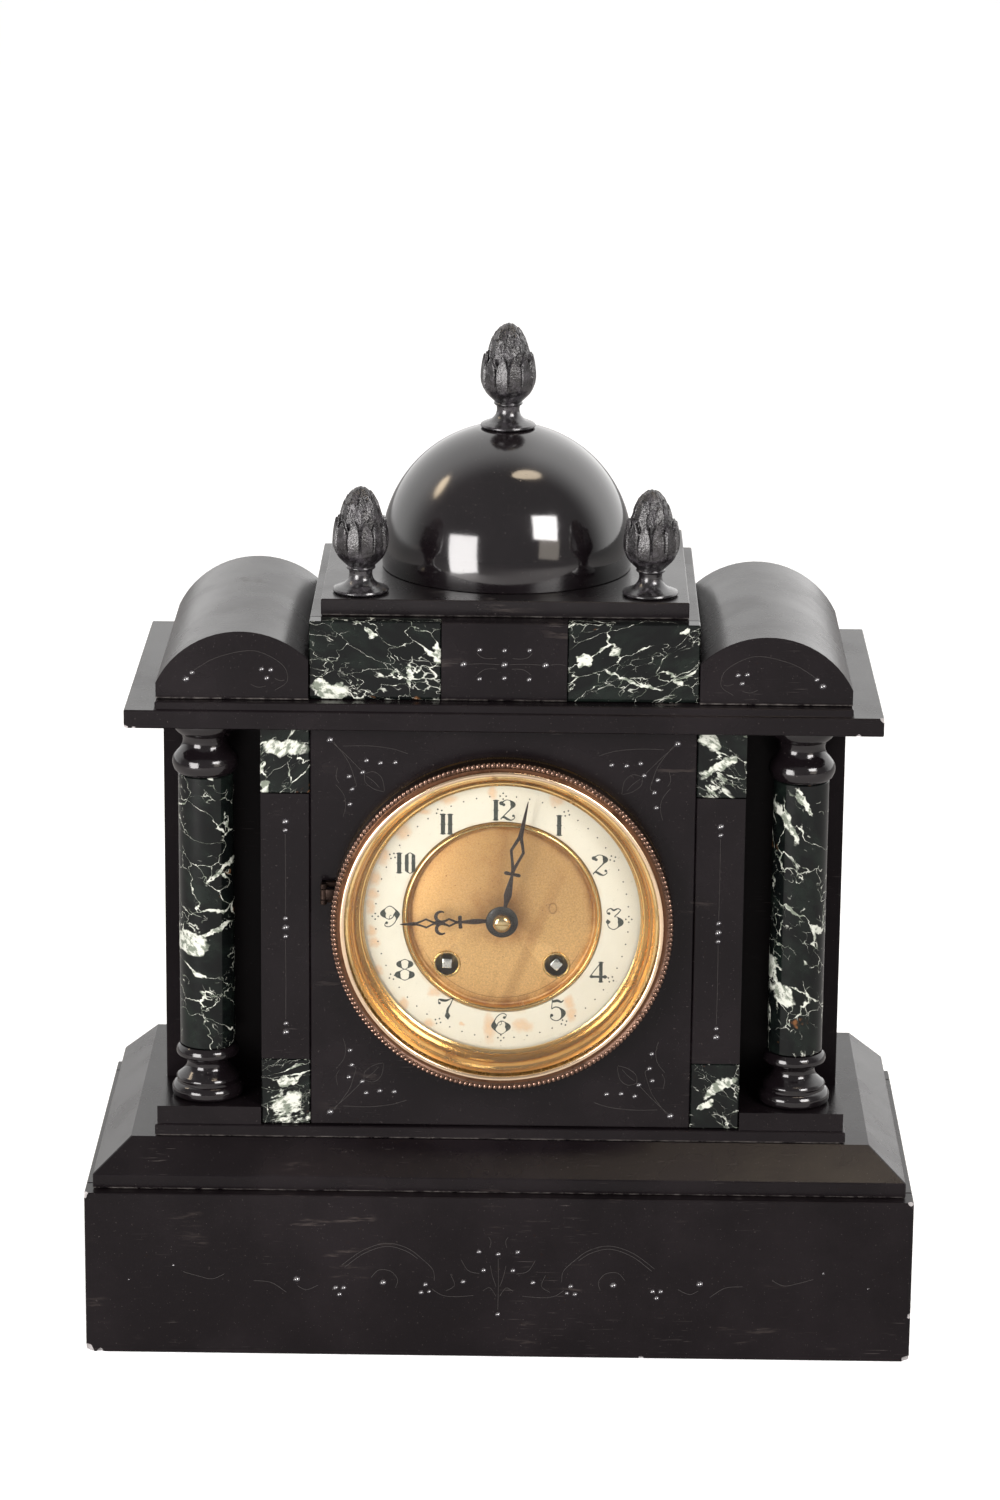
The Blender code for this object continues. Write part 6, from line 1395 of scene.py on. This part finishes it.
def sawn(loops, low, high, finish):
    """A plate between two depths, pierced by its inner loops and softly filed round its edges."""
    curve = bpy.data.curves.new("sawn", "CURVE")
    curve.dimensions = "2D"
    curve.fill_mode = "BOTH"
    curve.extrude = (high - low) / 2 - HAND_EDGE
    curve.bevel_depth = HAND_EDGE
    curve.bevel_resolution = 1
    curve.offset = -HAND_EDGE
    for loop in loops:
        spline = curve.splines.new("POLY")
        spline.points.add(len(loop) - 1)
        spline.use_cyclic_u = True
        for point, (x, z) in zip(spline.points, loop):
            point.co = (x, z, 0.0, 1.0)
    shape = bmesh.new()
    shape.from_mesh(as_mesh(placed("sawn", curve)))
    bmesh.ops.remove_doubles(shape, verts=shape.verts, dist=MERGE)
    for vertex in shape.verts:
        vertex.co = (vertex.co.x, -(low + high) / 2 - vertex.co.z, vertex.co.y)
    bmesh.ops.recalc_face_normals(shape, faces=shape.faces)
    return finished(shape, finish)


def both_sides(side, length):
    """A closed outline from its right side, given from hub to tip in shares of the hand's length."""
    right = [(x * length, z * length) for x, z in side]
    return right + [(-x, z) for x, z in reversed(right) if x > 0.0]


def laid(mesh, clockwise):
    """Turns a hand's mesh to its hour and puts it on the dial's centre."""
    mesh.transform(Matrix.Translation(DIAL) @ Matrix.Rotation(math.radians(clockwise), 4, "Y"))
    return mesh


def moon(x, z, outer, inner, shift, opening):
    """A crescent whose horns point to the hub."""
    arcs = []
    for radius, drop, reach, steps in ((outer, 0.0, 180 - opening, 24), (inner, shift, 124, 20)):
        turns = [math.radians(reach * (2 * i / steps - 1)) for i in range(steps + 1)]
        arcs.append([(x + radius * math.sin(turn), z - drop + radius * math.cos(turn)) for turn in turns])
    return arcs[0] + arcs[1][::-1]


minute_side = [
    (0.020, 0.085), (0.014, 0.130), (0.022, 0.180), (0.031, 0.222), (0.024, 0.290), (0.013, 0.375),
    (0.014, 0.386),
]
minute_bar = [
    (0.014, 0.386), (0.050, 0.383), (0.063, 0.389), (0.067, 0.398), (0.063, 0.407), (0.050, 0.413),
    (0.014, 0.413),
]
minute_top = [
    (0.014, 0.410), (0.018, 0.440), (0.034, 0.500), (0.060, 0.585), (0.042, 0.640), (0.020, 0.705),
    (0.017, 0.760), (0.014, 0.830), (0.009, 0.920), (0.004, 0.990), (0.0, 1.0),
]
minute_window = [(0.0, 0.470), (0.014, 0.512), (0.036, 0.585), (0.020, 0.630), (0.0, 0.678)]
outline = both_sides(through(minute_side, 5)[:-1] + minute_bar[:-1] + minute_top, MINUTE_LENGTH)
blade = sawn([outline, both_sides(minute_window, MINUTE_LENGTH)], *MINUTE_DEPTHS, blued)
collet = profile(
    (0.00205, 0.0612), (0.0064, 0.0612),
    [(0.0068, 0.0616), (0.0067, 0.0620), (0.0060, 0.0624), (0.0050, 0.0627)],
    (0.00205, 0.0630), (0.00205, 0.0612),
)
mesh = laid(joined(blade, ringed(collet, collet_black, 64, AXIS)), MINUTE_TURN)
mounted(shown("minute_hand_pierced", mesh), "minute_hand", "blued_steel", "minute_hand")

hour_side = [
    (0.032, 0.115), (0.018, 0.150), (0.022, 0.200), (0.027, 0.265), (0.020, 0.330), (0.013, 0.392),
]
hour_bar = [(0.013, 0.392), (0.056, 0.388), (0.066, 0.396), (0.066, 0.418), (0.056, 0.426), (0.013, 0.426)]
hour_top = [
    (0.016, 0.450), (0.046, 0.515), (0.020, 0.572), (0.017, 0.590), (0.026, 0.602), (0.022, 0.640),
    (0.014, 0.660), (0.026, 0.690), (0.052, 0.740), (0.030, 0.790), (0.016, 0.838), (0.018, 0.865),
    (0.012, 0.920), (0.005, 0.985), (0.0, 1.0),
]
hour_windows = ([(0.0, 0.462), (0.026, 0.515), (0.0, 0.560)], [(0.0, 0.676), (0.033, 0.740), (0.0, 0.818)])
outline = both_sides(through(hour_side, 5)[:-1] + hour_bar + hour_top, HOUR_LENGTH)
windows = [both_sides(window, HOUR_LENGTH) for window in hour_windows]
parts = [sawn([outline, *windows], *HOUR_DEPTHS, blued)]
for across in (-0.064, 0.064):
    sizes = [share * HOUR_LENGTH for share in (across, 0.598, 0.062, 0.041, 0.014)]
    parts.append(sawn([moon(*sizes, 50)], *MOON_DEPTHS, blued))
hub = profile(
    (0.0031, 0.0590), (0.0050, 0.0590), [(0.0052, 0.0593), (0.0051, 0.0598), (0.0046, 0.0600)],
    (0.0031, 0.0600), (0.0031, 0.0590),
)
parts.append(ringed(hub, collet_black, 48, AXIS))
mounted(shown("hour_hand_pierced", laid(joined(*parts), HOUR_TURN)), "hour_hand", "blued_steel", "hour_hand")

nut = profile(
    (0.0, 0.0630), (0.0039, 0.0630), [(0.0040, 0.0634), (0.0038, 0.0640)],
    [(0.0036, 0.0648), (0.0029, 0.0655), (0.0018, 0.0659), (0.0, 0.0660)],
)
slot = bar((DIAL[0] - 0.0060, -0.0668, DIAL[2] - 0.00028), (DIAL[0] + 0.0060, -0.0652, DIAL[2] + 0.00028),
           nut_brass, ease=0.00005)
mesh = cut(turned(nut, 48, DIAL, forward=True, finish=nut_brass), slot)
mounted(shown("hand_nut", mesh, nut_brass), "centre_arbor", "brass")


# Movement: two round brass plates with the wheels between them, in thin lacquered brass gone dull,
# with steel arbors, anchor and hammer. The winding squares are bright steel, worn by the key.
SQUARE_HALF = 0.0021
STEEL = metal("movement_steel", (0.46, 0.46, 0.47), (0.24, 0.22, 0.20), 0.28, 0.3, 2.0)
TRAIN_BRASS = metal("train_brass", (0.60, 0.43, 0.19), (0.34, 0.22, 0.09), 0.30, 0.35, 1.5)
KEY_WORN = metal("key_worn_steel", (0.66, 0.65, 0.63), (0.40, 0.38, 0.36), 0.24, 0.3, 6.0)
dress(
    TRAIN_BRASS, "front_plate", "back_plate", "strap_left", "strap_right", "second_wheel", "centre_arbor",
    "third_wheel", "escape_wheel", "strike_pin_wheel", "minute_wheel", "hour_wheel", slot="brass",
)
dress(STEEL, "anchor", "hammer", "cannon_pinion", slot="steel")
for node, turn in (("going_barrel", 42.0), ("strike_barrel", 3.0)):
    middle = centre_of(node)
    shape = bmesh.new()
    drill(shape, (middle.x, -0.050, middle.z), 0.004, 0.012, 24)
    square = bar(
        (-SQUARE_HALF, -0.0530, -SQUARE_HALF), (SQUARE_HALF, -0.0436, SQUARE_HALF), KEY_WORN, 0.00045,
    )
    place = Matrix.Translation((middle.x, 0.0, middle.z))
    square.transform(place @ Matrix.Rotation(math.radians(turn), 4, "Y"))
    trimmed = cut(merged_copy(node, TRAIN_BRASS), finished(shape))
    mounted(shown(node + "_wound", joined(trimmed, square)), node, "brass", node)


# Bell: turned from pale bell metal and left thin at its rim, where the hammer strikes it. It is
# screwed to the top of its post, behind the movement.
BELL_WALL = 0.0016
BELL_BORE = 0.00205
BELL_ACROSS = 0.010
BELL_DROP = 0.008
bell_metal = metal("bell_metal", (0.66, 0.52, 0.30), (0.40, 0.28, 0.13), 0.17, 0.25, 0.7)
outer = [(0.0340, -0.0160), (0.0339, -0.0180), (0.0335, -0.0207), (0.0325, -0.0240), (0.0309, -0.0270),
         (0.0281, -0.0303), (0.0241, -0.0330), (0.0187, -0.0351), (0.0122, -0.0364), (BELL_BORE, -0.0372)]
inner = [(max(radius - BELL_WALL, BELL_BORE), depth + BELL_WALL) for radius, depth in reversed(outer[2:])]
bell = profile(outer[0], outer[1:], inner[0], [*inner[1:], (0.0324, -0.0165)], (0.0328, -0.0160), outer[0])
mesh = ringed(bell, bell_metal, 96, (DIAL[0] + BELL_ACROSS, 0.0, DIAL[2] - BELL_DROP))
mounted(shown("turned_bell", mesh), "case", "bell_metal", "bell")


# Pendulum: a lens-shaped brass bob on a steel rod, hung by its eye from a pin behind the movement,
# with a knurled rating nut below the bob.
PIVOT_Z = DIAL[2] + 0.0435
PENDULUM_Y = 0.012
BOB_DROP = 0.154
lens = profile(
    (0.0, 0.0045), [(0.0060, 0.0043), (0.0114, 0.0034), (0.0160, 0.0020), (0.0187, 0.0008)],
    [(0.0190, 0.0004), (0.0190, -0.0004), (0.0187, -0.0008)],
    [(0.0160, -0.0020), (0.0114, -0.0034), (0.0060, -0.0043), (0.0, -0.0045)],
)
rod = profile((0.0, -0.177), (0.0009, -0.177), (0.0012, -0.1767), (0.0012, -0.0018), (0.0, -0.0018))
rating_nut = profile(
    (0.0, -0.1758), (0.0027, -0.1758), (0.0030, -0.1755), (0.0030, -0.1737), (0.0027, -0.1734),
    (0.0, -0.1734),
)
eye = profile(
    (0.00095, -0.001), (0.00095, 0.001), (0.0024, 0.001), (0.0026, 0.0008), (0.0026, -0.0008),
    (0.0024, -0.001), (0.00095, -0.001),
)
pivot = (0.0, PENDULUM_Y, PIVOT_Z)
mesh = joined(
    turned(lens, 96, (0.0, PENDULUM_Y, PIVOT_Z - BOB_DROP), forward=True, finish=BRASS_BRIGHT),
    turned(rod, 24, pivot, finish=STEEL),
    turned(rating_nut, 32, pivot, finish=BRASS_OLD),
    ringed(eye, BRASS_OLD, 32, pivot),
)
mounted(shown("hung_pendulum", mesh), "pendulum", "brass", "pendulum")


# Rear ring and door: a turned brass ring let into the back panel, and a thin spun brass door with a
# turned knob, hinged at its side, which keeps dust from the movement.
REAR_X = -0.0682
REAR_Y = 0.0795
REAR_AXIS = (REAR_X, REAR_Y, DIAL[2])
REAR_KNUCKLE = 0.0015
STRAP_HOLES = 0.0545
KNOB_ACROSS = 0.060
spun, shader, place = new_finish("spun_brass")
_, _, radius = about_dial(place)
rings = place.node("CombineXYZ", {0: radius, 1: 0.0, 2: 0.0}).noise(1900.0, 2.0)
cloud = place.noise(38.0, 4.0, 0.6).above(0.45, 0.68)
plug(shader, {"Base Color": (cloud * 0.7).blend(BRASS, (0.33, 0.19, 0.07))})
plug(shader, {"Roughness": cloud * 0.2 + rings * 0.1 + 0.2, "Normal": rings.bump(0.12, 0.0002)})
shader.inputs["Metallic"].default_value = 1.0


def rear_knuckle(low, high, radius=REAR_KNUCKLE, bore=0.0):
    return knuckle(REAR_AXIS, low, high, radius, BRASS_OLD, bore, ease=0.0002, steps=28)


ring = profile(
    (0.0500, -0.0630), (0.0617, -0.0630), (0.0617, -0.0763), (0.0665, -0.0763), (0.0665, -0.0776),
    (0.0661, -0.0780), (0.0599, -0.0780), (0.0597, -0.0778), (0.0597, -0.0650), (0.0500, -0.0650),
    (0.0500, -0.0630),
)
shape = bmesh.new()
for side in (-1, 1):
    drill(shape, (DIAL[0] + side * STRAP_HOLES, 0.064, DIAL[2]), 0.00185, 0.006, 20)
parts = [cut(ringed(ring, spun), finished(shape)), rear_knuckle(-0.0097, 0.0097, HINGE_PIN)]
for low, high in ((-0.010, -0.0053), (0.0053, 0.010)):
    foot, head = DIAL[2] + low, DIAL[2] + high
    parts += [
        rear_knuckle(low, high),
        bar((REAR_X - 0.001, 0.0763, foot), (-0.0645, 0.0779, head), BRASS_OLD),
        bar((REAR_X - 0.001, 0.0765, foot), (REAR_X + 0.001, REAR_Y, head), BRASS_OLD),
    ]
mounted(shown("rear_fixed_ring", joined(*parts)), "case", "brass", "rear_ring")

cover = profile(
    (0.0, -0.0810), [(0.0300, -0.0803), (0.0530, -0.0796), (0.0560, -0.0795)], (0.0642, -0.0795),
    (0.0645, -0.0792), (0.0645, -0.0783), (0.0, -0.0783),
)
knob = profile(
    (0.0, -0.0789), (0.0018, -0.0789), (0.0018, -0.0800),
    [(0.0026, -0.0803), (0.0030, -0.0809), (0.0027, -0.0816), (0.0015, -0.0819), (0.0, -0.0819)],
)
mesh = joined(
    turned(cover, 160, DIAL, forward=True, finish=spun),
    turned(knob, 32, (DIAL[0] + KNOB_ACROSS, 0.0, DIAL[2]), forward=True, finish=BRASS_OLD),
    bar((REAR_X + 0.0008, 0.0784, DIAL[2] - 0.005), (-0.0605, 0.0796, DIAL[2] + 0.005), BRASS_OLD),
    rear_knuckle(-0.005, 0.005, bore=KNUCKLE_BORE),
)
mounted(shown("spun_door", mesh), "rear_door", "brass", "rear_door")
